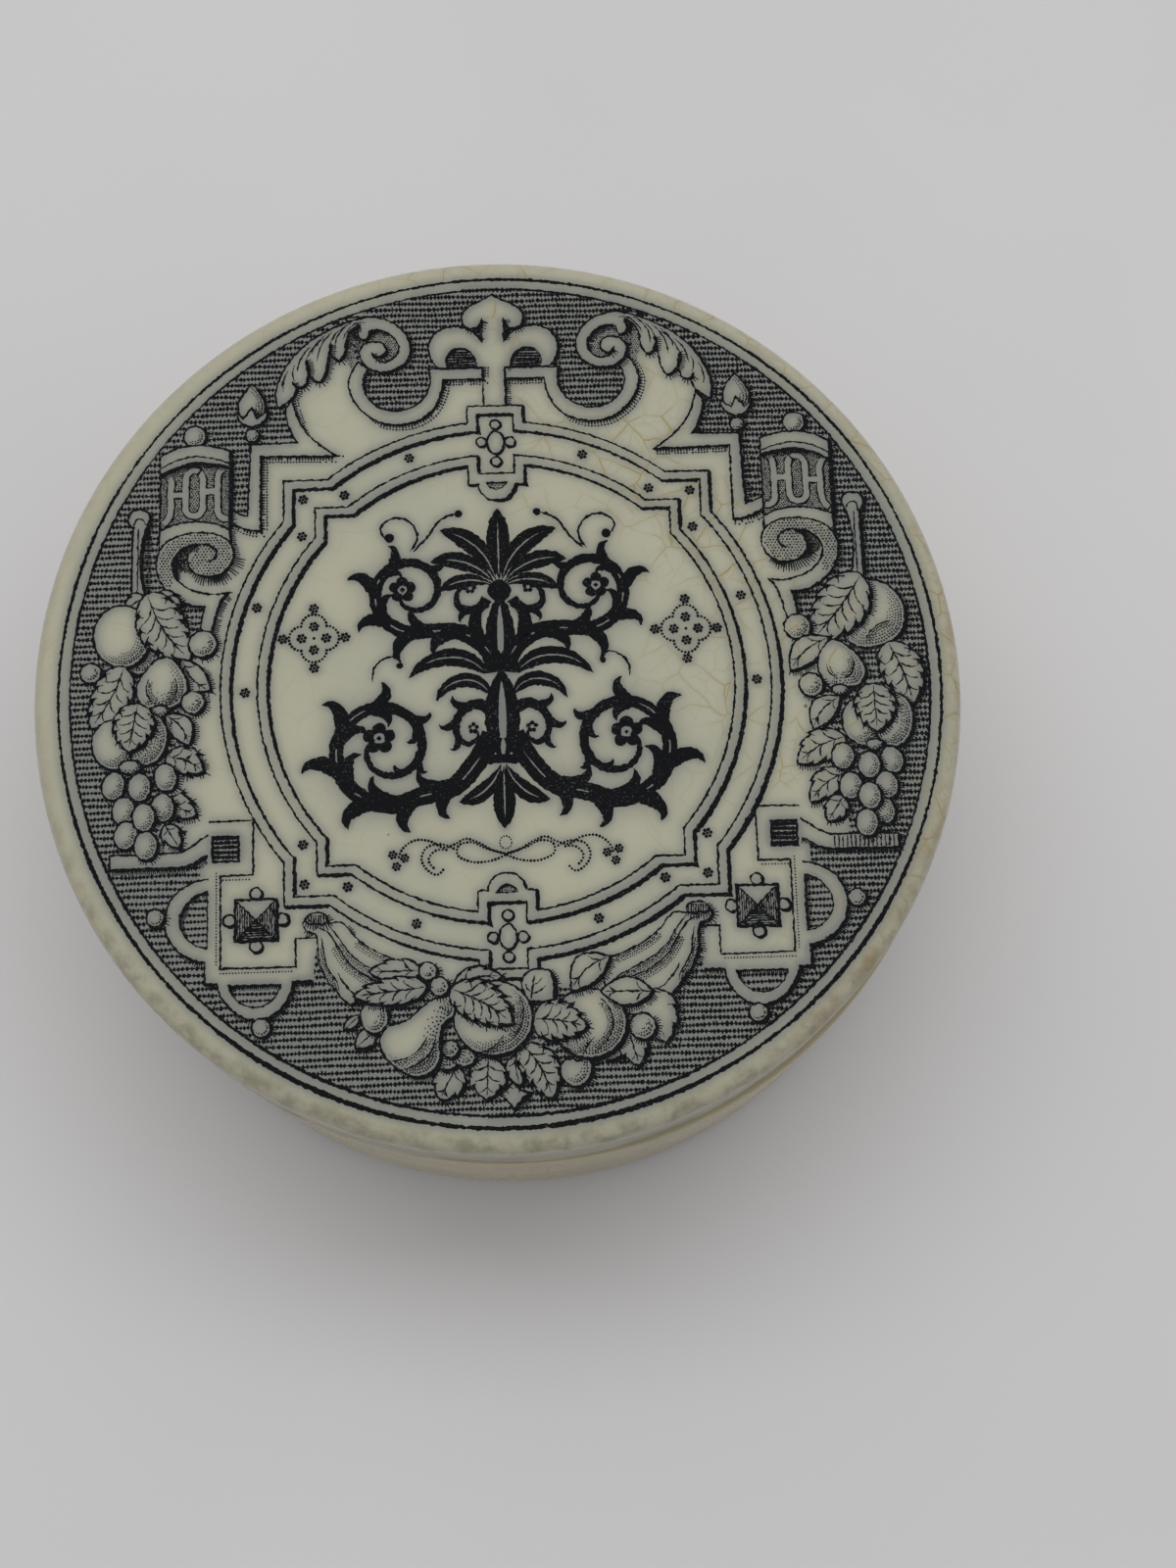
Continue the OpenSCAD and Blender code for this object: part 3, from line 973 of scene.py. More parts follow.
def drawRightSwag():
    pen["layer"] = "fruit"
    fruitShape([(31.9, 8.5), (33.5, 8.1), (34.8, 6.7), (35.1, 5), (34.6, 3.6), (33.6, 2.8), (32.2, 2.35),
                (30.8, 2.4), (29.8, 3.1), (29.6, 4.5), (30.3, 6.6)], 6)
    crease([(33.7, 4.7), (32.5, 4.2), (31.8, 3.5), (31.5, 2.7)], 2, -1)
    leaf((31.5, 9), (26.9, 3.1), 2.1, 6, bend=0.03, veins=5)
    roundShape(25.65, 4.35, 1.15, rows=3)
    leaf((33.4, 2.8), (35.3, -2.8), 1.75, 5, bend=0.04)
    leaf((28.3, 3.3), (24.8, 0.4), 1.15, 1, bend=-0.1, veins=2)
    fruitShape([(28.6, 3.1), (29.9, 2.5), (31, 1.2), (31.3, 0), (30.7, -1), (29.4, -1.2), (28.2, -1.2),
                (27.5, -0.3), (27.2, 1), (27.7, 2.3)], 5)
    crease([(30.1, 1.6), (30.3, 0.6), (29.8, -0.2), (29.1, -0.4)], 2)
    crease([(29, -0.4), (28.3, 0), (28, 0.9)], 1)
    roundShape(26.55, -0.9, 1.05, rows=3, gap=0.22)
    roundShape(29, -1.4, 0.7, 0.45, rows=1, gap=0.16, start=0.15)
    leaf((29, -2), (26.5, -4.9), 1.05, 1, bend=-0.12, veins=2)
    leaf((29.2, -5.6), (25, -7.8), 1.35, 4, bend=-0.08, veins=3)
    leaf((29.2, -8.7), (25.9, -11.2), 1.15, 3, bend=-0.1, veins=3)
    leaf((28.7, -10.8), (27.3, -12.9), 0.95, 3, veins=2)
    roundShape(30.7, -4.3, 1.7, 2.1, 8, rows=4)
    roundShape(33.5, -4.2, 1.65, 2.4, -8, rows=4)
    crease([(32.3, -3.2), (31.9, -4.8), (31.9, -6)], 2)
    leaf((31.9, -0.9), (32, -5.2), 1.7, 5)
    roundShape(31.7, -6.3, 0.75, 0.5, rows=2, gap=0.16, start=0.15)
    grapes(1.2, ((33.1, -7.7, 20), (31.1, -8.1, 0), (32.5, -9.9, 6), (32.1, -12.1, 8), (28.9, -7.3, -8),
                 (29.4, -9.9, -6), (31, -10.8, 4), (30.6, -13.1, 0)))
    for x in np.arange(27.75, 33.1, 0.36):
        inkLine(curve([(x, -14.15), (x, -15.2)]), 0.12, taper=0.15)


def drawFestoon():
    pen["layer"] = "fruit"
    leaf((-12.4, -28.2), (-13.7, -29.3), 0.45, 1, veins=0)
    leaf((-10.9, -29.2), (-12.8, -30.9), 0.75, 1, veins=0)
    roundShape(-11.2, -28.3, 1.15, 1.45, rows=3, gap=0.24)
    leaf((-7.3, -24.6), (-11.6, -24.6), 0.95, 3, veins=2)
    leaf((9.7, -30.3), (7.9, -32.5), 0.8, 2, veins=1)
    leaf((9.6, -29.6), (10.5, -33), 1.2, 3, veins=2)
    leaf((12.3, -26.8), (12.8, -31.2), 1.5, 3, bend=-0.06, veins=1)
    coverWith(loop([(9, -27.2), (11, -26.6), (12.8, -27.2), (13, -29), (12.6, -30.4), (12, -29.4),
                    (11.2, -28.6), (9.8, -28.7)]))
    roundShape(10.9, -29.8, 1.1, rows=3, gap=0.24)
    lightShape(loop([(0.1, -33.9, 1), (0.7, -34.7), (1.55, -34.95, 1), (0.75, -35.5), (0.15, -36.3, 1),
                     (-0.4, -35.6), (-1.1, -34.95, 1), (-0.4, -34.6)]))
    leaf((-4.5, -32.6), (-5.95, -35.3), 1.25, 3, veins=2)
    leaf((-1.9, -32), (-2.1, -35.4), 1.5, 3, veins=3)
    leaf((0.2, -31.9), (0.6, -34.4), 0.8, 2, veins=1)
    leaf((0.9, -31), (3.3, -35.5), 1.45, 5, bend=0.08)
    roundShape(-5.3, -32.3, 0.85, 0.6, rows=1)
    roundShape(-3.9, -31.9, 0.95, 0.75, rows=2, gap=0.2)
    roundShape(-5, -31.2, 0.72, rows=2, gap=0.2)
    fruitShape([
        (-4.8, -26.9), (-6.2, -27), (-7.4, -27.8), (-8.7, -28.8), (-10.1, -29.2), (-10.8, -30.2),
        (-10.5, -31.4), (-10, -32.1), (-9, -32.9), (-7.9, -33.4), (-6.7, -33.1), (-5.9, -32.1),
        (-5.85, -30.4), (-5.5, -29.1), (-4.6, -28.4),
    ], 5, shade=0.22)
    crease([(-9.9, -32), (-8.8, -31.9), (-7.6, -31.2), (-6.9, -30.1)], 2, 1, 0.15)
    crease([(-9, -32.8), (-7.8, -32.4), (-6.6, -31.4), (-6.2, -30.2)], 2, 1, 0.15)
    roundShape(-6.75, -24.7, 0.75, rows=2, gap=0.2)
    roundShape(-5.8, -26, 0.78, rows=2, gap=0.2)
    leaf((-6.8, -26), (-12.9, -26.6), 1.1, 5)
    roundShape(6.8, -31.9, 0.7, 0.55, rows=2, gap=0.16)
    fruitShape([(4.2, -32.6), (4.9, -32.3), (5.5, -32.5), (6.2, -32.2), (6.6, -33), (6.3, -34), (5.3, -34.6),
                (4.3, -34.1), (4, -33.3)], 3, 0.22)
    roundShape(6.5, -29.4, 3.1, 2.85, rows=5, shade=0.28)
    crease([(7.5, -27.4), (8.3, -28.5), (8.4, -29.9), (7.7, -31.1), (6.9, -31.8)])
    crease([(3.7, -30.5), (4.5, -31.4), (5.5, -31.9)], 2)
    crease([(6.9, -30.6), (6.2, -31.4), (5.9, -32.1)], 2)
    leaf((-4.6, -26), (-0.6, -25.3), 0.9, 3, bend=0.08, veins=2)
    roundShape(-1.4, -28.75, 3.25, 3.1, rows=5, shade=0.28)
    crease([(0.8, -27), (1.1, -28.2), (0.8, -29.6), (0, -30.6)])
    crease([(-0.6, -30.2), (-1.3, -31), (-2.3, -31.5), (-3.2, -31.5)], 2, -1)
    leaf((-4.9, -26.2), (0.15, -29.2), 1.6, 6, bend=0.05, veins=5)
    lightShape(loop([(1.66, -27.5, 1), (1.15, -26.7), (1.02, -25.8), (1.5, -25.05), (2.45, -24.75),
                     (3.35, -25, 1), (3.62, -25.5), (3.68, -26.4), (3.6, -27.5, 1)]), shade=0.4)
    for vein in ([(1.75, -27.3), (1.9, -26.3), (2.1, -25.3)], [(1.8, -26.7), (1.5, -26.4), (1.35, -26)],
                 [(1.95, -26.1), (2.4, -25.9), (2.75, -25.5)], [(1.85, -26.8), (2.5, -26.6), (3, -26.2)]):
        inkLine(curve(vein), 0.13, taper=0.4)
    leaf((1.9, -28.9), (6.3, -29.7), 1.6, 5, bend=0.04, full=0.65)
    leaf((8.4, -23.9), (5.1, -26.7), 1.2, 1, bend=-0.12, veins=2, full=0.9)
    leaf((11.9, -26.9), (7.5, -26.8), 1.15, 1, veins=2, full=0.9)


# Middle

def drawQuatrefoils():
    pen["layer"] = "centre"
    for _ in eachSide():
        for dx, dy, start in ((0, 1, 0), (1, 0, -90), (0, -1, 180), (-1, 0, 90)):
            dotted(ellipse(16 + dx * 1.05, 4.4 + dy * 1.05, 1.1, 1.1, 0, start + 2, start + 178), 0.31, 0.135)
            rosette(16 + dx * 1.05, 4.4 + dy * 1.05)
            rosette(16 + dx * 2.68, 4.4 + dy * 2.68)
        addDots(placed([(16, 4.4)]), 0.15)


def drawFlourish():
    # Dotted scrolls under the ornament, the same on both sides of a knot
    pen["layer"] = "centre"
    for _ in eachSide():
        for line in ([(0.1, -15), (1.2, -14.6), (2.4, -13.9), (3.4, -13.6), (4.2, -14), (5.2, -14.3),
                      (6.4, -13.7), (7.6, -13.6), (8.8, -14.5), (9, -15)],
                     [(0.1, -15.1), (1.6, -15.6), (3.2, -15.5), (4.1, -14.9), (4, -14.2), (3, -13.9),
                      (1.6, -14.5), (0.2, -14.9)],
                     [(4.4, -14.4), (5.6, -14), (6.7, -14.3), (7.1, -15.2), (6.6, -16.2), (5.8, -16.6),
                      (5.3, -16.2)],
                     [(5, -14.5), (6, -14.6), (6.5, -15.3), (6.1, -16)]):
            dotted(curve(line), 0.29, 0.125)
        for x, y in ((8.5, -15.1), (9.5, -14.8), (9.2, -15.8)):
            rosette(x, y, 0.42)
    dotted(ellipse(0, -14, 0.5, 0.55), 0.24, 0.08)


def splitRibbon(path, out, gap, rest):
    # Two ribbons as wide as rest, each the distance gap from the line
    addRibbon(path + out * gap[:, None], penValues["thinnest"], rest)
    addRibbon(path - out * gap[:, None], rest, penValues["thinnest"])


def blade(points, width, full=0.62, vein=0):
    # A solid black blade along a line; its half width is width / 2 * sin(pi * t ** full) ** 0.75. A bare vein
    # may split it.
    path = curve(points)
    t = np.linspace(0, 1, len(path))
    half = width / 2 * np.sin(np.pi * t**full) ** 0.75
    if not vein:
        addRibbon(path, half, half)
        return
    out, _ = sideways(path, False)
    gap = vein / 2 * np.sin(np.pi * np.clip(t / 0.86, 0, 1)) ** 0.5
    splitRibbon(path, out, gap, np.maximum(half - gap, penValues["thinnest"]))


def solidDisc(x, y, r):
    addRibbon(ellipse(x, y, r / 2, r / 2), r / 2, r / 2, closed=True)


def tendril(points, width, taper, end, r):
    # A thin curl with a small solid ball at its end
    inkLine(curve(points), width, taper)
    solidDisc(*end, r)


def spiral(x, y, r, eye, start, turns):
    # Points round an eye, 14 a turn, from the radius r at the angle start in to the radius eye
    t = np.linspace(0, 1, int(14 * turns))
    a = np.radians(start + 360 * turns * t)
    away = eye + (r - eye) * (1 - t) ** 0.9
    return [tuple(p) for p in np.column_stack([x + away * np.cos(a), y + away * np.sin(a)])]


def rinceau(points, stem, sprigs, petals=0.5, tail=0.16):
    # A stem that thins towards its eye and ends in a flower, with blades that spring from it.
    # A sprig is its place along the stem from 0 to 1, its side, its length and its width.
    line = even(smooth(np.array(points, float)))
    t = np.linspace(0, 1, len(line))
    half = (stem * (1 - t) ** 0.8 + tail) / 2
    path = line * (pen["side"], pen["rise"])
    out, _ = sideways(path, False)
    gap = 0.09 * np.clip(np.minimum(t - 0.03, 0.62 - t) / 0.05, 0, 1) * (stem > 1.2)
    splitRibbon(path, out, gap, half - gap)
    for at, side, length, width in sprigs:
        i = min(int(at * (len(line) - 1)), len(line) - 2)
        ahead = (line[i + 1] - line[i]) / np.linalg.norm(line[i + 1] - line[i])
        out = side * np.array([ahead[1], -ahead[0]])
        bend = ((-0.12, 0), (0.3, 0.12), (0.62, 0.4), (0.72, 0.74), (0.58, 1))
        blade([tuple(line[i] + length * (a * ahead + b * out)) for a, b in bend], width, 0.7)
    flower(*line[-1], petals)


def flower(x, y, r):
    # Five solid petals round a bare eye with a dot in it
    turns = np.radians(np.arange(5) * 72 + 90)
    for a in turns:
        solidDisc(x + 0.62 * r * np.cos(a), y + 0.62 * r * np.sin(a), 0.42 * r)
    coverWith(ellipse(x, y, 0.3 * r, 0.3 * r))
    solidDisc(x, y, 0.14 * r)


def palmette(x, y, lobes):
    # A fan of blades from one root; a lobe is its angle from upright, its length, width and outward lean
    for angle, length, width, lean in lobes:
        a = np.radians(angle)
        way, out = np.array([np.sin(a), np.cos(a)]), np.array([np.cos(a), -np.sin(a)])
        marks = ((0.1, 0), (0.4, -0.02 * lean), (0.75, 0.1 * lean), (1, 0.34 * lean))
        blade([tuple(np.array([x, y]) + length * (u * way + w * out)) for u, w in marks], width, 1.25, 0.2)


def drawMiddle():
    # A symmetrical arabesque: two tiers of scrolls either side of a stem, with a fan above and a drop below
    pen["layer"] = "centre"
    for _ in eachSide():
        low = [(0.9, -4.6), (2.3, -7), (4.3, -9.1)] + spiral(9.9, -5.6, 5.1, 1.1, 236, 1.5)
        rinceau(low, 1.6, [
            (0.13, -1, 3.2, 1.3), (0.15, 1, 2.3, 1.1), (0.23, 1, 2.6, 1.3), (0.26, -1, 3, 1.3),
            (0.32, 1, 2.8, 1.4), (0.38, -1, 2.8, 1.25), (0.42, 1, 2.9, 1.4), (0.49, -1, 2.4, 1.15),
            (0.52, 1, 2.6, 1.3), (0.6, -1, 2, 1), (0.61, 1, 2.1, 1.1), (0.7, 1, 1.5, 0.85),
            (0.72, -1, 1.5, 0.8), (0.8, 1, 1.2, 0.7), (0.84, -1, 1, 0.6),
        ], 1.35, 0.3)
        high = [(0.4, 0.9), (1.2, 3), (3.3, 4.5)] + spiral(7.5, 8.3, 3.8, 0.9, 250, 1.35)
        rinceau(high, 1.4, [
            (0.1, -1, 3, 1.25), (0.17, 1, 2.7, 1.2), (0.27, -1, 2.2, 1), (0.31, 1, 2.5, 1.15),
            (0.4, 1, 2.3, 1.1), (0.42, -1, 2, 0.9), (0.5, 1, 2.4, 1.15), (0.56, -1, 1.6, 0.8),
            (0.6, 1, 1.8, 0.9), (0.72, 1, 1.3, 0.7),
        ], 1.15, 0.26)
        blade([(1.3, 0.8), (3, 2.1), (5.4, 2.2), (7.9, 0.6)], 1.6, 0.8, 0.2)
        blade([(1, -1), (2.5, 0.2), (4.2, 0), (5.6, -1.5)], 1.3, 0.8, 0.18)
        rinceau([(0.9, -2.6), (2.3, -1.9), (3.7, -2.9), (3.9, -4.5), (2.9, -5.4), (2.1, -4.7), (2.5, -4)],
                0.9, [(0.25, -1, 1.5, 0.75), (0.45, -1, 1.4, 0.7), (0.62, -1, 1.2, 0.6)], 0.5)
        rinceau([(1.1, 7.5), (2.3, 6.5), (3.6, 7), (3.5, 8.3), (2.5, 8.5)], 0.85, [(0.35, 1, 1.2, 0.6)], 0.5)
        tendril([(7.7, 12), (7, 13.4), (7.7, 14.8), (9.2, 15.1), (10.2, 14.2), (9.7, 13.2)], 0.2, 0.5,
                (9.4, 13.3), 0.42)
        tendril([(7.4, 12), (6.2, 13.2), (4.9, 14.9), (3.6, 15.4)], 0.2, 0.5, (3.4, 15.4), 0.34)
        tendril([(11, 0.3), (10.6, 1.9), (9.2, 2.5), (8.5, 1.8)], 0.18, 0.4, (8.7, 1.75), 0.3)
    fan = [(0, 7.2, 2, 0)]
    for turn in (1, -1):
        fan += [(turn * 25, 6.9, 1.8, turn), (turn * 49, 6, 1.6, turn), (turn * 75, 4.9, 1.3, turn)]
    palmette(0, 8.6, fan)
    solidDisc(0, 8.2, 1)
    drop = [(180, 6, 1.9, 0), (152, 5, 1.5, -1), (208, 5, 1.5, 1)]
    palmette(0, -6.8, drop)
    blade([(0, -6.8), (0, -2), (0, 1.2)], 3, 0.9, 0.7)
    blade([(0, 1.4), (0, 4.4), (0, 7.8)], 2.5, 0.9, 0.6)
    for y, wide in ((-6.9, 1.5), (1.3, 1.7)):
        inkLine(curve([(-wide, y), (0, y + 0.15), (wide, y)]), 0.8, taper=0.3)


def drawPrint():
    drawGround()
    drawField()
    pen["layer"] = "border"
    drawCrest()
    for _ in eachSide():
        drawTopScroll()
        drawAcanthus()
        drawBud()
        drawStepStrap()
        drawColumn()
        drawSideVolute()
        drawHook()
        drawLowerBlock()
    drawCartouche()
    for _ in eachSide():
        drawDrapery()
    drawClasp(1)
    drawClasp(-1)
    drawLeftSwag()
    drawRightSwag()
    drawFestoon()
    drawQuatrefoils()
    drawFlourish()
    drawMiddle()
    hideCovered()


def hideCovered():
    # A sample that lies in a cover drawn later isn't shown; a ribbon's shaded side is cut back there too
    cell, fine = penValues["cell"], penValues["fineLine"] / 2
    middle = int(penValues["reach"] / cell)
    top = np.zeros((2 * middle, 2 * middle), int)
    for level, polygon in covers:
        (x, y), mask = maskOf(polygon)
        top[y + middle:y + middle + mask.shape[0], x + middle:x + middle + mask.shape[1]][mask] = level

    def hidden(points, order):
        x, y = np.floor(points / cell).astype(int).T + middle
        return top[y, x] > order

    for r in ribbons:
        out, mitre = sideways(r["path"], r["closed"])
        r["shown"] = r["shown"] & ~hidden(r["path"], r["order"])
        for edge, half in (("right", r["outer"]), ("left", -r["inner"])):
            away = out * (half * mitre)[:, None]
            wide = np.linalg.norm(away, axis=1)
            cut = hidden(r["path"] + away, r["order"]) & (wide > fine)
            r[edge] = r["path"] + away * np.where(cut, fine / np.maximum(wide, 1e-6), 1)[:, None]
    for d in dots:
        d["shown"] = ~hidden(d["at"], d["order"])
    for t in ticks:
        t["shown"] = ~(hidden(t["a"], t["order"]) | hidden(t["b"], t["order"]))


drawPrint()
dotCount, strokeCount = sum(len(d["at"]) for d in dots), sum(len(t["a"]) for t in ticks)
print("drawn", len(ribbons), "lines,", dotCount, "dots and", strokeCount, "strokes")


# Shapes

# Radii and heights in mm; shoulder, heel, recess, bowl, edge, corner and lip are the radii of rounded corners
potValues = {
    "r": 39.8, "h": 27.0, "shoulder": 0.7, "heel": 3.0, "footIn": 33.1, "recess": 1.2, "floor": 4.6,
    "bowl": 6.0, "neckOut": 36.1, "neckIn": 33.8, "neckTop": 33.4, "lip": 0.9, "segments": 360,
    "offX": 0.65, "offY": -0.3,        # how far the pot stands from under the middle of its loose lid
    "mapShare": 0.32,                  # size of the first disc of its unrolled map
}
lidValues = {
    "r": 40.0, "base": 27.0, "h": 11.0, "ceiling": 7.0, "edge": 2.0, "crown": 0.5, "skirtIn": 37.2,
    "corner": 1.6, "lip": 0.9, "segments": 540,
    "wave": 0.025,                     # height of the slow waves in the fired top
    "onTop": 36.5,                     # the ink's haze is in the glaze above this height
    "mapShare": 0.16,
}
printValues = {
    "x": 0.25, "y": -0.1,              # how far the transfer was laid off the lid's middle
    "lift": 0.008,                     # how far the lowest ink lies above the glaze
    "layers": 97, "layerLift": 0.0002,    # what is drawn later lies a hair higher, layer on layer
}
handmade = {"sway": 0.06, "ridge": 0.012, "ridgePitch": 1.7}    # how far the turned walls stray, in mm


def profile(stops):
    # An outline of arcs joined by straight runs. A stop is how many points lead up to it, the middle and
    # radius of its arc, the angles where that starts and ends, and its count of points; a corner is an arc
    # of no radius.
    parts = []
    for before, x, z, r, start, end, count in stops:
        a = np.radians(np.linspace(start, end, count))
        arc = np.column_stack([x + r * np.cos(a), z + r * np.sin(a)])
        if parts:
            t = np.linspace(0, 1, before + 2)[1:-1, None]
            parts.append(parts[-1][-1] * (1 - t) + arc[0] * t)
        parts.append(arc)
    return np.vstack(parts)


def crownHeight(r):
    # Height of a shallow ball above the crown's edge
    edge, rise = lidValues["r"] - lidValues["edge"], lidValues["crown"]
    ball = (edge**2 + rise**2) / (2 * rise)
    return np.sqrt(np.maximum(ball**2 - r**2, 0)) - (ball - rise)


def topWave(x, y):
    return lidValues["wave"] * (np.sin(0.19 * x + 0.11 * y + 1) + 0.6 * np.sin(0.13 * x - 0.23 * y + 2.4))


def topHeight(x, y):
    r = np.hypot(x, y)
    return lidValues["base"] + lidValues["h"] + crownHeight(r) + topWave(x, y)


def potOutline():
    # From the middle of the recess under the foot, out and up the wall, over the neck and down to the floor
    v = potValues
    lipZ = v["neckTop"] - v["lip"]
    return profile([
        (0, 0, v["recess"], 0, 0, 0, 1),
        (12, v["footIn"] - v["recess"], 0, v["recess"], 90, 0, 7),
        (4, v["r"] - v["heel"], v["heel"], v["heel"], 270, 360, 12),
        (46, v["r"] - v["shoulder"], v["h"] - v["shoulder"], v["shoulder"], 0, 90, 7),
        (3, v["neckOut"], v["h"], 0, 0, 0, 1),
        (10, v["neckOut"] - v["lip"], lipZ, v["lip"], 0, 90, 7),
        (1, v["neckIn"] + v["lip"], lipZ, v["lip"], 90, 180, 7),
        (40, v["neckIn"] - v["bowl"], v["floor"] + v["bowl"], v["bowl"], 0, -90, 16),
        (30, 0, v["floor"], 0, 0, 0, 1),
    ])


def lidOutline():
    # From the middle of the ceiling, down the inside of the skirt, up its outside and in over the crown
    v = lidValues
    ceiling, edgeR = v["base"] + v["ceiling"], v["r"] - v["edge"]
    crownR = np.linspace(edgeR, 0, 118)[1:]
    crown = np.column_stack([crownR, v["base"] + v["h"] + crownHeight(crownR)])
    below = profile([
        (0, 0, ceiling, 0, 0, 0, 1),
        (14, v["skirtIn"] - v["corner"], ceiling - v["corner"], v["corner"], 90, 0, 7),
        (4, v["skirtIn"] + v["lip"], v["base"] + v["lip"], v["lip"], 180, 270, 6),
        (1, v["r"] - v["lip"], v["base"] + v["lip"], v["lip"], 270, 360, 6),
        (14, edgeR, v["base"] + v["h"] - v["edge"], v["edge"], 0, 90, 14),
    ])
    return np.vstack([below, crown])


def turned(outline, segments):
    # A surface of revolution. Each point (r, z) of the outline goes once round the axis; the two on the axis
    # become single vertices. Faces run round first and along the outline second, so they point outwards.
    a = np.linspace(0, 2 * np.pi, segments, endpoint=False)
    r, z = outline[1:-1, :1], outline[1:-1, 1:]
    waves = 0.5 * np.cos(2 * a + 1.3) + 0.3 * np.cos(3 * a + 0.4) + 0.2 * np.cos(5 * a + z / 6)
    sway = handmade["sway"] * waves
    ridge = handmade["ridge"] * np.sin(2 * np.pi * z / handmade["ridgePitch"] + 0.7 * np.sin(a))
    wide = r + (sway + ridge) * np.clip((r - 25) / 8, 0, 1)
    grid = np.stack([wide * np.cos(a), wide * np.sin(a), z + 0 * a], axis=-1).reshape(-1, 3)
    points = np.vstack([[[0, 0, outline[0, 1]]], grid, [[0, 0, outline[-1, 1]]]])
    rows, last = len(outline) - 2, len(points) - 1
    ring = 1 + np.arange(rows)[:, None] * segments + np.arange(segments)
    ahead = np.roll(ring, -1, axis=1)
    quads = np.stack([ring[:-1], ahead[:-1], ahead[1:], ring[1:]], axis=-1).reshape(-1, 4)
    zero, top = np.zeros(segments, int), np.full(segments, last)
    tris = np.vstack([np.column_stack([zero, ahead[0], ring[0]]),
                      np.column_stack([ring[-1], ahead[-1], top])])
    return points, quads, tris


def newPiece(name, points, quads, tris=()):
    # A mesh piece from arrays; points are in mm
    quads, tris = np.reshape(quads, (-1, 4)).astype(np.int32), np.reshape(tris, (-1, 3)).astype(np.int32)
    mesh = bpy.data.meshes.new(name)
    mesh.vertices.add(len(points))
    mesh.vertices.foreach_set("co", (np.asarray(points) * mm).astype(np.float32).ravel())
    mesh.loops.add(quads.size + tris.size)
    mesh.loops.foreach_set("vertex_index", np.concatenate([quads.ravel(), tris.ravel()]))
    mesh.polygons.add(len(quads) + len(tris))
    starts = np.concatenate([np.arange(len(quads)) * 4, quads.size + np.arange(len(tris)) * 3])
    mesh.polygons.foreach_set("loop_start", starts.astype(np.int32))
    mesh.polygons.foreach_set("use_smooth", np.ones(len(starts), bool))
    mesh.update(calc_edges=True)
    piece = bpy.data.objects.new(name, mesh)
    bpy.context.scene.collection.objects.link(piece)
    return piece


def addMap(piece, flat):
    # The map that a bake draws through: a place for each corner of each face
    layer = piece.data.uv_layers.new(name="OFBake", do_init=False)
    layer.uv.foreach_set("vector", flat.astype(np.float32).ravel())


def cornersOf(piece):
    found = np.empty(len(piece.data.loops), np.int32)
    piece.data.loops.foreach_get("vertex_index", found)
    return found


def unroll(piece, outline, segments, split, share):
    # A turned piece opens out as two discs: a place is as far from its disc's middle as its run along the
    # outline from the axis. The points before split are in the first disc, whose radius is share of the
    # map's side; the two radii add up to 0.57.
    vertex = cornersOf(piece)
    ring = np.where(vertex == 0, 0, 1 + (vertex - 1) // segments)
    first = np.empty(len(piece.data.polygons), np.int32)
    piece.data.polygons.foreach_get("loop_start", first)
    least = np.minimum.reduceat(ring, first)
    later = np.repeat(least >= split, np.diff(np.append(first, len(vertex))))
    run = np.concatenate([[0], np.cumsum(np.linalg.norm(np.diff(outline, axis=0), axis=1))])
    other, margin = 0.57 - share, 0.005
    away = np.where(later, (run[-1] - run[ring]) * other / (run[-1] - run[split]),
                    run[ring] * share / run[split])
    a = (vertex - 1) % segments * (2 * np.pi / segments)
    middle = np.where(later, 1 - margin - other, share + margin)
    addMap(piece, middle[:, None] + away[:, None] * np.column_stack([np.cos(a), np.sin(a)]))


# The haze that the ink leaves in the glaze

hazeValues = {
    "cell": 0.1,           # grid spacing, in mm
    "half": 42,            # half the grid's side
    "near": 0.3,           # spread of the dense haze beside a line
    "far": 1.0,            # spread of the thin haze
    "farShare": 0.25,
    "strength": 4.2,
    "most": 0.67,          # the amount where ink is dense
}


def inkHaze():
    # Ink per area on a grid, spread by two bell curves, then turned into most * (1 - exp(-strength * ink))
    v = hazeValues
    half = int(v["half"] / v["cell"])
    grid = np.zeros((2 * half, 2 * half))
    spots = [(r["path"][r["shown"]],
              ((r["inner"] + r["outer"]) * penValues["step"])[r["shown"]]) for r in ribbons]
    spots += [(d["at"][d["shown"]], (2.6 * d["r"]**2)[d["shown"]]) for d in dots]
    spots += [(((t["a"] + t["b"]) / 2)[t["shown"]],
               ((t["wa"] + t["wb"]) * np.linalg.norm(t["b"] - t["a"], axis=1))[t["shown"]]) for t in ticks]
    at = np.floor(np.vstack([s[0] for s in spots]) / v["cell"]).astype(int) + half
    np.add.at(grid, (at[:, 1], at[:, 0]), np.concatenate([s[1] for s in spots]) / v["cell"]**2)
    turns = np.fft.fftfreq(2 * half, v["cell"])
    away = turns[:, None]**2 + turns[None, :]**2
    near, far = (np.exp(-2 * (np.pi * spread)**2 * away) for spread in (v["near"], v["far"]))
    spread = np.fft.ifft2(np.fft.fft2(grid) * ((1 - v["farShare"]) * near + v["farShare"] * far)).real
    return v["most"] * (1 - np.exp(-v["strength"] * np.maximum(spread, 0)))


def sampled(grid, x, y):
    # The grid's value at places in mm, blended between its four nearest cells
    half, cell = len(grid) // 2, hazeValues["cell"]
    u, v = np.clip(x / cell + half - 0.5, 0, 2 * half - 2), np.clip(y / cell + half - 0.5, 0, 2 * half - 2)
    i, j = u.astype(int), v.astype(int)
    s, t = u - i, v - j
    return ((grid[j, i] * (1 - s) + grid[j, i + 1] * s) * (1 - t)
            + (grid[j + 1, i] * (1 - s) + grid[j + 1, i + 1] * s) * t)


def setAttribute(piece, name, values):
    layer = piece.data.attributes.new(name, "FLOAT", "POINT")
    layer.data.foreach_set("value", np.asarray(values, np.float32))


# Glaze and ink

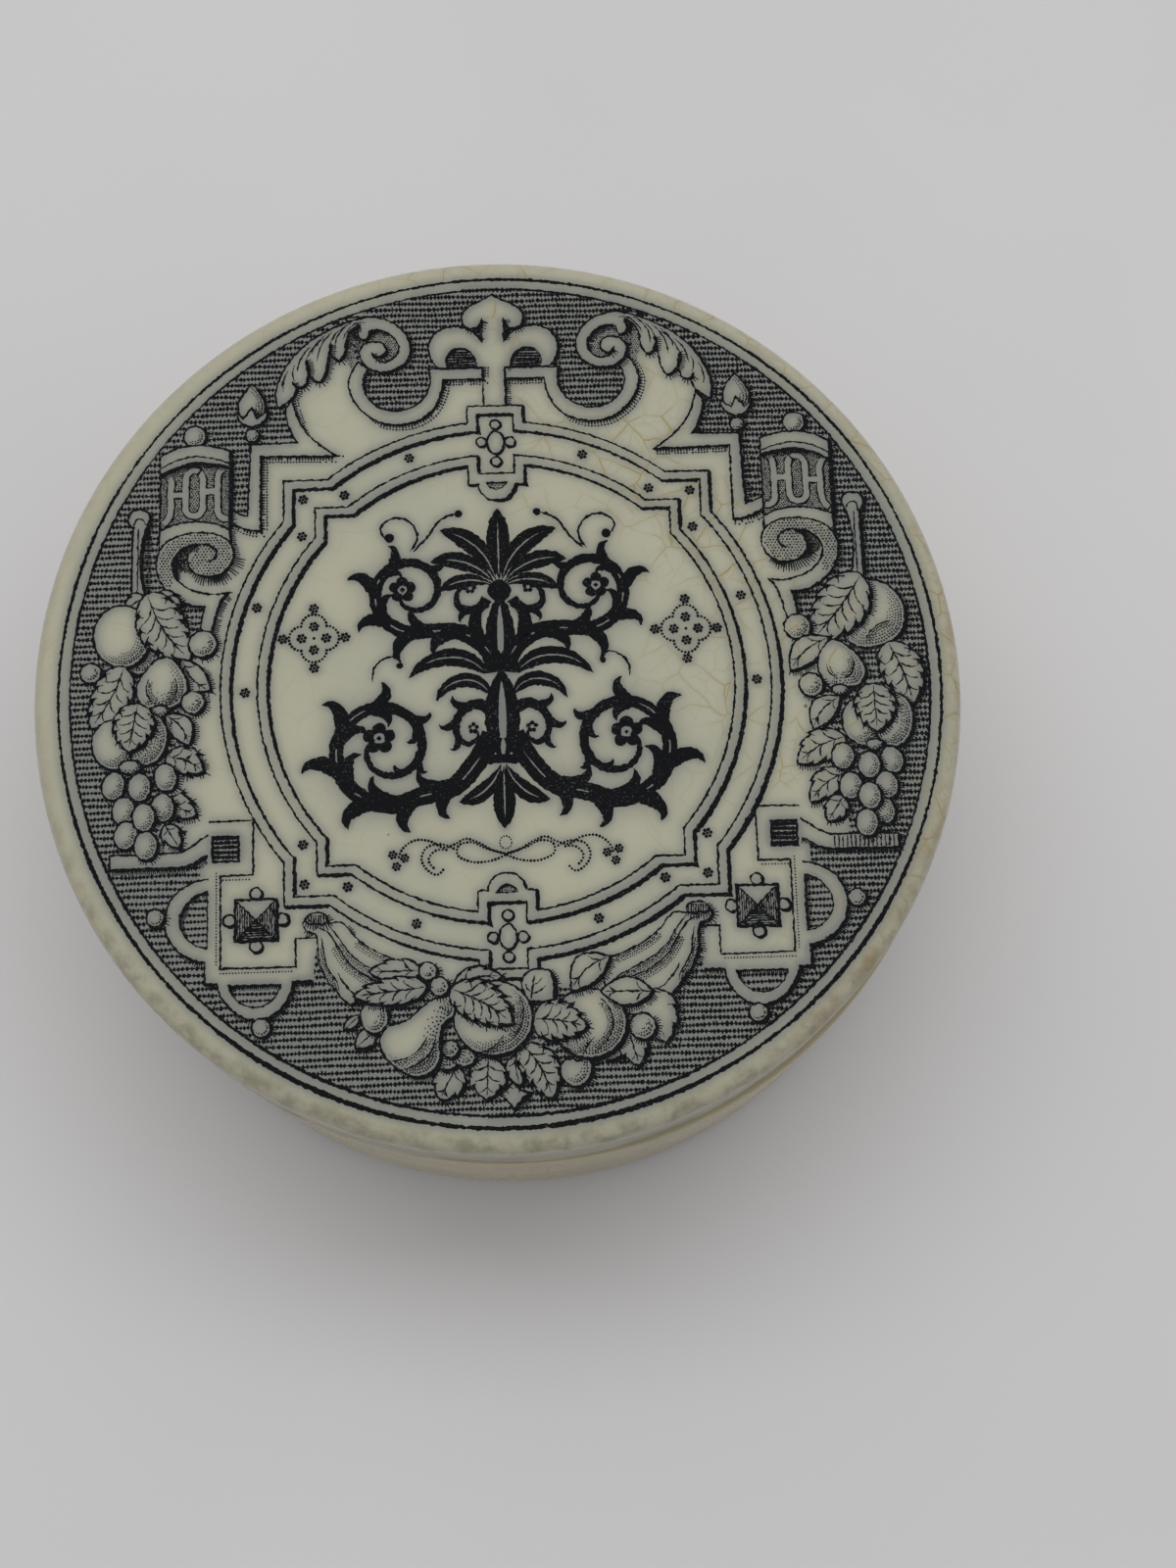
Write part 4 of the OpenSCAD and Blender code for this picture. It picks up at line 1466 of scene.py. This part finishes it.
def crazeGroup():
    # Fine cracks with a faint stain beside them: the edges of warped Voronoi cells, at two sizes, stronger in
    # some places than in others
    group, given, out = newGroup("craze", "Mask", Cell=3.2, Line=0.05)
    bend = {"Vector": given["Vector"], "Scale": 260, "Detail": 2.0}
    bent = addNode(group, "TexNoise", bend).outputs["Color"]
    push = addNode(group, "VectorMath", {0: bent, 1: (0.5, 0.5, 0.5)}, operation="SUBTRACT").outputs[0]
    push = addNode(group, "VectorMath", {0: push, "Scale": 0.0014}, operation="SCALE").outputs[0]
    vector = addNode(group, "VectorMath", {0: given["Vector"], 1: push}, operation="ADD").outputs[0]
    strength = noiseOf(group, given["Vector"], 190)
    masks = []
    for share, weight in ((1.0, 1.0), (0.55, 0.45)):
        scale = calc(group, "DIVIDE", 1 / mm / share, given["Cell"])
        cell = addNode(group, "TexVoronoi", {"Vector": vector, "Scale": scale}, feature="DISTANCE_TO_EDGE")
        away = cell.outputs["Distance"]
        line = remap(group, away, 0.0, given["Line"], 1.0, 0.0)
        stain = remap(group, away, 0.0, times(group, given["Line"], 5.0), 0.2, 0.0)
        masks.append(times(group, calc(group, "MAXIMUM", line, stain), weight))
    both = calc(group, "MAXIMUM", masks[0], masks[1])
    group.links.new(times(group, both, remap(group, strength, 0.32, 0.62)), out["Mask"])
    return group


def speckGroup():
    # Scattered specks: small round spots at the middle of a few Voronoi cells
    group, given, out = newGroup("specks", "Mask", Spacing=4.0, Size=0.05, Share=0.3)
    scale = calc(group, "DIVIDE", 1 / mm, given["Spacing"])
    cell = addNode(group, "TexVoronoi", {"Vector": given["Vector"], "Scale": scale})
    draw = addNode(group, "SeparateColor", {0: cell.outputs["Color"]})
    size = times(group, given["Size"], calc(group, "ADD", 0.4, draw.outputs[1]))
    spot = remap(group, cell.outputs["Distance"], times(group, size, 0.6), size, 1.0, 0.0)
    chosen = calc(group, "LESS_THAN", draw.outputs[0], given["Share"])
    group.links.new(times(group, spot, chosen), out["Mask"])
    return group


def patchGroup():
    # Cloudy patches: a noise cut at a level, softened by the width of the cut
    group, given, out = newGroup("patches", "Mask", Scale=60.0, Level=0.5, Softness=0.15)
    cloud = noiseOf(group, given["Vector"], given["Scale"], 5.0, 0.6)
    high = calc(group, "ADD", given["Level"], given["Softness"])
    group.links.new(remap(group, cloud, given["Level"], high), out["Mask"])
    return group


def skinGroup():
    # Height of a fired glaze: slow waves and a fine orange peel
    group, given, out = newGroup("glazeSkin", "Height", Peel=0.3)
    slow, fine = (noiseOf(group, given["Vector"], scale, 2.0) for scale in (110, 900))
    group.links.new(calc(group, "MULTIPLY_ADD", fine, given["Peel"], slow), out["Height"])
    return group


crazeMade, speckMade, patchMade, skinMade = crazeGroup(), speckGroup(), patchGroup(), skinGroup()

glazeValues = {
    "cream": (167, 165, 145),
    "creamShade": (154, 155, 141),     # greyer clouds in the cream
    "rimTone": (168, 163, 142),
    # dark clay mottle in the rim, heavier at the near side as painted shade
    "mottleAndShadeTone": (114, 111, 92),
    "hazeTone": (70, 78, 90),
    "crazeTone": (134, 119, 70),
    "rust": (138, 112, 68),
    # painted shade on the lid's skirt, and dirt at the pot's foot
    "dirtAndShadeTone": (112, 102, 74),
    "speckTone": (60, 48, 36),
    "ink": (12, 13, 15),
    "inkWorn": (66, 70, 72),
    "potCream": (184, 171, 131),
    "potShade": (169, 154, 114),
    "seamTone": (146, 140, 116),       # dull glaze along the shoulder that the lid stands on
    "roughness": 0.13,                 # of clean glaze, and of dirt and bare clay
    "dullRoughness": 0.65,
    "lidGloss": 0.35,
    "potGloss": 0.32,
    "peel": 0.22,                      # share of fine orange peel in the glaze's uneven skin
    "skinStrength": 0.25,
    "skinDepth": 0.12,                 # in mm
}


def laid(tree, amount, colour, name):
    # One of the tones above, laid over a colour
    return blendColours(tree, amount, colour, tone(*glazeValues[name]))


def where(tree, place, x=0.0, y=0.0, z=0.0, shift=0.0):
    # A ramp along a direction: x, y and z are its steepness per mm
    steep = (x / mm, y / mm, z / mm)
    along = addNode(tree, "VectorMath", {0: place, 1: steep}, operation="DOT_PRODUCT").outputs["Value"]
    return remap(tree, calc(tree, "ADD", along, shift), 0.0, 1.0)


def fromAxis(tree, place):
    flat = addNode(tree, "VectorMath", {0: place, 1: (1.0, 1.0, 0.0)}, operation="MULTIPLY").outputs[0]
    return addNode(tree, "VectorMath", {0: flat}, operation="LENGTH").outputs["Value"]


def finishGlaze(tree, shader, place, colour, dull):
    # What every glazed surface shares: gloss, broken by dirt and bare clay, and a skin that isn't quite even
    v = glazeValues
    tree.links.new(colour, shader.inputs["Base Color"])
    rough = remap(tree, dull, 0.0, 0.8, v["roughness"], v["dullRoughness"])
    tree.links.new(rough, shader.inputs["Roughness"])
    skin = addGroup(tree, skinMade, Vector=place, Peel=v["peel"])
    bump = {"Height": skin, "Strength": v["skinStrength"], "Distance": v["skinDepth"] * mm}
    tree.links.new(addNode(tree, "Bump", bump).outputs["Normal"], shader.inputs["Normal"])


def lidGlaze():
    material, tree, shader, place = newMaterial("lid_glaze")
    clouds = addGroup(tree, patchMade, Vector=place, Scale=55.0, Level=0.42, Softness=0.3)
    colour = laid(tree, times(tree, clouds, 0.5), tone(*glazeValues["cream"]), "creamShade")
    radius = fromAxis(tree, place)
    rim = remap(tree, radius, 37.8 * mm, 39.4 * mm)
    colour = laid(tree, times(tree, rim, 0.75), colour, "rimTone")
    haze = addNode(tree, "Attribute", {}, attribute_name="inkHaze", attribute_type="GEOMETRY").outputs["Fac"]
    colour = laid(tree, haze, colour, "hazeTone")
    # mottled clay shows through the rim; it is laid on more thickly at the near side as painted shade
    near = times(tree, where(tree, place, y=-0.03), where(tree, place, z=0.4, shift=-14.0))
    mottleAndNearShade = addGroup(tree, patchMade, Vector=place, Scale=620.0, Level=0.38, Softness=0.3)
    mottleAndNearShade = times(tree, mottleAndNearShade, rim, remap(tree, near, 0.0, 1.0, 0.18, 0.65))
    colour = laid(tree, mottleAndNearShade, colour, "mottleAndShadeTone")
    # the cracks show most towards the upper right, and least under the print
    upper = remap(tree, where(tree, place, x=0.035, y=0.02, shift=-0.05), 0.0, 1.0, 0.14, 1.0)
    crackle = addGroup(tree, crazeMade, Vector=place, Cell=3.3, Line=0.025)
    colour = laid(tree, times(tree, crackle, upper, remap(tree, haze, 0.2, 0.65, 1.0, 0.25)), colour,
                  "crazeTone")
    # rusty patches along the right of the rim
    rusty = addGroup(tree, patchMade, Vector=place, Scale=330.0, Level=0.48, Softness=0.2)
    side = times(tree, where(tree, place, x=0.05, y=-0.012, shift=-0.9), 0.45)
    colour = laid(tree, times(tree, rusty, remap(tree, radius, 38.2 * mm, 39.2 * mm), side), colour, "rust")
    # the larger specks follow the mottle, and with it the painted shade at the near side
    for spacing, size, share, strength in ((5.0, 0.05, 0.4, 0.7), (2.2, 0.09, 0.22, mottleAndNearShade)):
        specks = addGroup(tree, speckMade, Vector=place, Spacing=spacing, Size=size, Share=share)
        colour = laid(tree, times(tree, specks, strength), colour, "speckTone")
    # painted shade that darkens the skirt towards its foot, in grimy patches
    low = where(tree, place, z=-0.12, shift=4.5)
    grimeAndShadePatches = addGroup(tree, patchMade, Vector=place, Scale=170.0, Level=0.4, Softness=0.25)
    dirtAndShade = times(tree, low, remap(tree, grimeAndShadePatches, 0.0, 1.0, 0.2, 0.55))
    colour = laid(tree, dirtAndShade, colour, "dirtAndShadeTone")
    wall = times(tree, where(tree, place, z=-0.4, shift=14.9), 0.35)
    finishGlaze(tree, shader, place, colour, calc(tree, "MAXIMUM", dirtAndShade, wall))
    shader.inputs["Specular IOR Level"].default_value = glazeValues["lidGloss"]
    return material


def potGlaze():
    material, tree, shader, place = newMaterial("pot_glaze")
    clouds = addGroup(tree, patchMade, Vector=place, Scale=70.0, Level=0.4, Softness=0.3)
    colour = laid(tree, clouds, tone(*glazeValues["potCream"]), "potShade")
    crackle = addGroup(tree, crazeMade, Vector=place, Cell=3.4, Line=0.025)
    colour = laid(tree, times(tree, crackle, 0.45), colour, "crazeTone")
    specks = addGroup(tree, speckMade, Vector=place, Spacing=4.5, Size=0.05, Share=0.4)
    colour = laid(tree, times(tree, specks, 0.7), colour, "speckTone")
    seam = times(tree, where(tree, place, z=1.6, shift=-42.0), where(tree, place, z=-1.6, shift=44.5),
                 remap(tree, fromAxis(tree, place), 35.2 * mm, 36.2 * mm, 0.0, 0.8))
    colour = laid(tree, seam, colour, "seamTone")
    grimeAndShadePatches = addGroup(tree, patchMade, Vector=place, Scale=150.0, Level=0.35, Softness=0.3)
    # dirt at the very foot of the pot
    dirtAndShade = times(tree, where(tree, place, z=-1.1, shift=1.4), remap(tree, grimeAndShadePatches, 0.0, 1.0, 0.3, 0.85))
    colour = laid(tree, dirtAndShade, colour, "dirtAndShadeTone")
    finishGlaze(tree, shader, place, colour, calc(tree, "MAXIMUM", dirtAndShade, 0.18))
    shader.inputs["Specular IOR Level"].default_value = glazeValues["potGloss"]
    return material


def inkUnderGlaze():
    # Black, with a finer grey where the ink is worn
    material, tree, shader, place = newMaterial("print_ink")
    grain, worn = noiseOf(tree, place, 5200, 2.0), noiseOf(tree, place, 140)
    level = calc(tree, "MULTIPLY_ADD", worn, -0.25, 0.74)
    thin = remap(tree, grain, level, calc(tree, "ADD", level, 0.12))
    colour = laid(tree, times(tree, thin, 0.7), tone(*glazeValues["ink"]), "inkWorn")
    finishGlaze(tree, shader, place, colour, 0.0)
    return material


print("finishes ready")


# The pieces

def makePot():
    v, outline = potValues, potOutline()
    points, quads, tris = turned(outline, v["segments"])
    points[:, :2] += v["offX"], v["offY"]
    pot = newPiece("pot_body", points, quads, tris)
    unroll(pot, outline, v["segments"], np.argmax(outline[:, 1] > v["h"] - 1e-6), v["mapShare"])
    pot.data.materials.append(potGlaze())
    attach(pot, "pot")
    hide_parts("pot")


def makeLid():
    v, outline = lidValues, lidOutline()
    points, quads, tris = turned(outline, v["segments"])
    points[:, 2] += np.clip((points[:, 2] - v["base"]) / v["h"], 0, 1) * topWave(points[:, 0], points[:, 1])
    lid = newPiece("lid_body", points, quads, tris)
    unroll(lid, outline, v["segments"], np.argmax(outline[:, 0] > v["skirtIn"] + v["lip"]), v["mapShare"])
    haze = sampled(inkHaze(), points[:, 0] - printValues["x"], points[:, 1] - printValues["y"])
    setAttribute(lid, "inkHaze", haze * (points[:, 2] > v["onTop"]))
    lid.data.materials.append(lidGlaze())
    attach(lid, "lid")
    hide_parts("lid")


def sheetOf(flat, order):
    # Flat places put just above the lid's crown, later ones a hair higher
    v = printValues
    x, y = flat[:, 0] + v["x"], flat[:, 1] + v["y"]
    return np.column_stack([x, y, topHeight(x, y) + (v["lift"] + (order % v["layers"]) * v["layerLift"])])


def stripQuads(count, closed, shown):
    # A quad from each sample of a ribbon to the next, where both are shown; right-hand points come first
    i = np.arange(count if closed else count - 1)
    k = (i + 1) % count
    both = shown[i] & shown[k]
    i, k = i[both], k[both]
    return np.column_stack([i, k, k + count, i + count])


def dotFaces(at, r):
    # A six-sided dot at each place, as two quads
    a = np.radians(np.arange(6) * 60 + 15)
    rim = at[:, None] + r[:, None, None] * np.column_stack([np.cos(a), np.sin(a)])
    first = np.arange(len(at))[:, None] * 6
    return rim.reshape(-1, 2), np.vstack([first + [0, 1, 2, 3], first + [0, 3, 4, 5]])


def strokeFaces(t):
    # A four-sided stroke from each a to its b
    a, b, wa, wb = (t[k][t["shown"]] for k in ("a", "b", "wa", "wb"))
    way = (b - a) / (np.linalg.norm(b - a, axis=1)[:, None] + 1e-9)
    out = np.column_stack([way[:, 1], -way[:, 0]])
    fromA, fromB = out * wa[:, None], out * wb[:, None]
    corners = np.stack([a + fromA, b + fromB, b - fromB, a - fromA], axis=1)
    return corners.reshape(-1, 2), np.arange(4 * len(a)).reshape(-1, 4)


def inkParts(layer):
    # Everything in a layer that shows: its order, its flat corners and their quads
    for r in (r for r in ribbons if r["layer"] == layer):
        quads = stripQuads(len(r["path"]), r["closed"], r["shown"])
        used, tidy = np.unique(quads, return_inverse=True)
        yield r["order"], np.vstack([r["right"], r["left"]])[used], tidy.reshape(-1, 4)
    for d in (d for d in dots if d["layer"] == layer):
        yield d["order"], *dotFaces(d["at"][d["shown"]], d["r"][d["shown"]])
    for t in (t for t in ticks if t["layer"] == layer):
        yield t["order"], *strokeFaces(t)


def makePrint(layer, name, material):
    points, quads, count = [], [], 0
    for order, corners, faces in inkParts(layer):
        points.append(sheetOf(corners, order))
        quads.append(faces + count)
        count += len(corners)
    points = np.vstack(points)
    piece = newPiece(name, points, np.vstack(quads))
    addMap(piece, points[cornersOf(piece), :2] / (2 * penValues["reach"]) + 0.5)
    piece.data.materials.append(material)
    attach(piece, "lid")
    print(name, len(piece.data.polygons), "faces")


makePot()
makeLid()
ink = inkUnderGlaze()
makePrint("ground", "print_ground", ink)
makePrint("border", "print_strapwork", ink)
makePrint("fruit", "print_fruit", ink)
makePrint("centre", "print_middle", ink)

print("pot and lid finished")
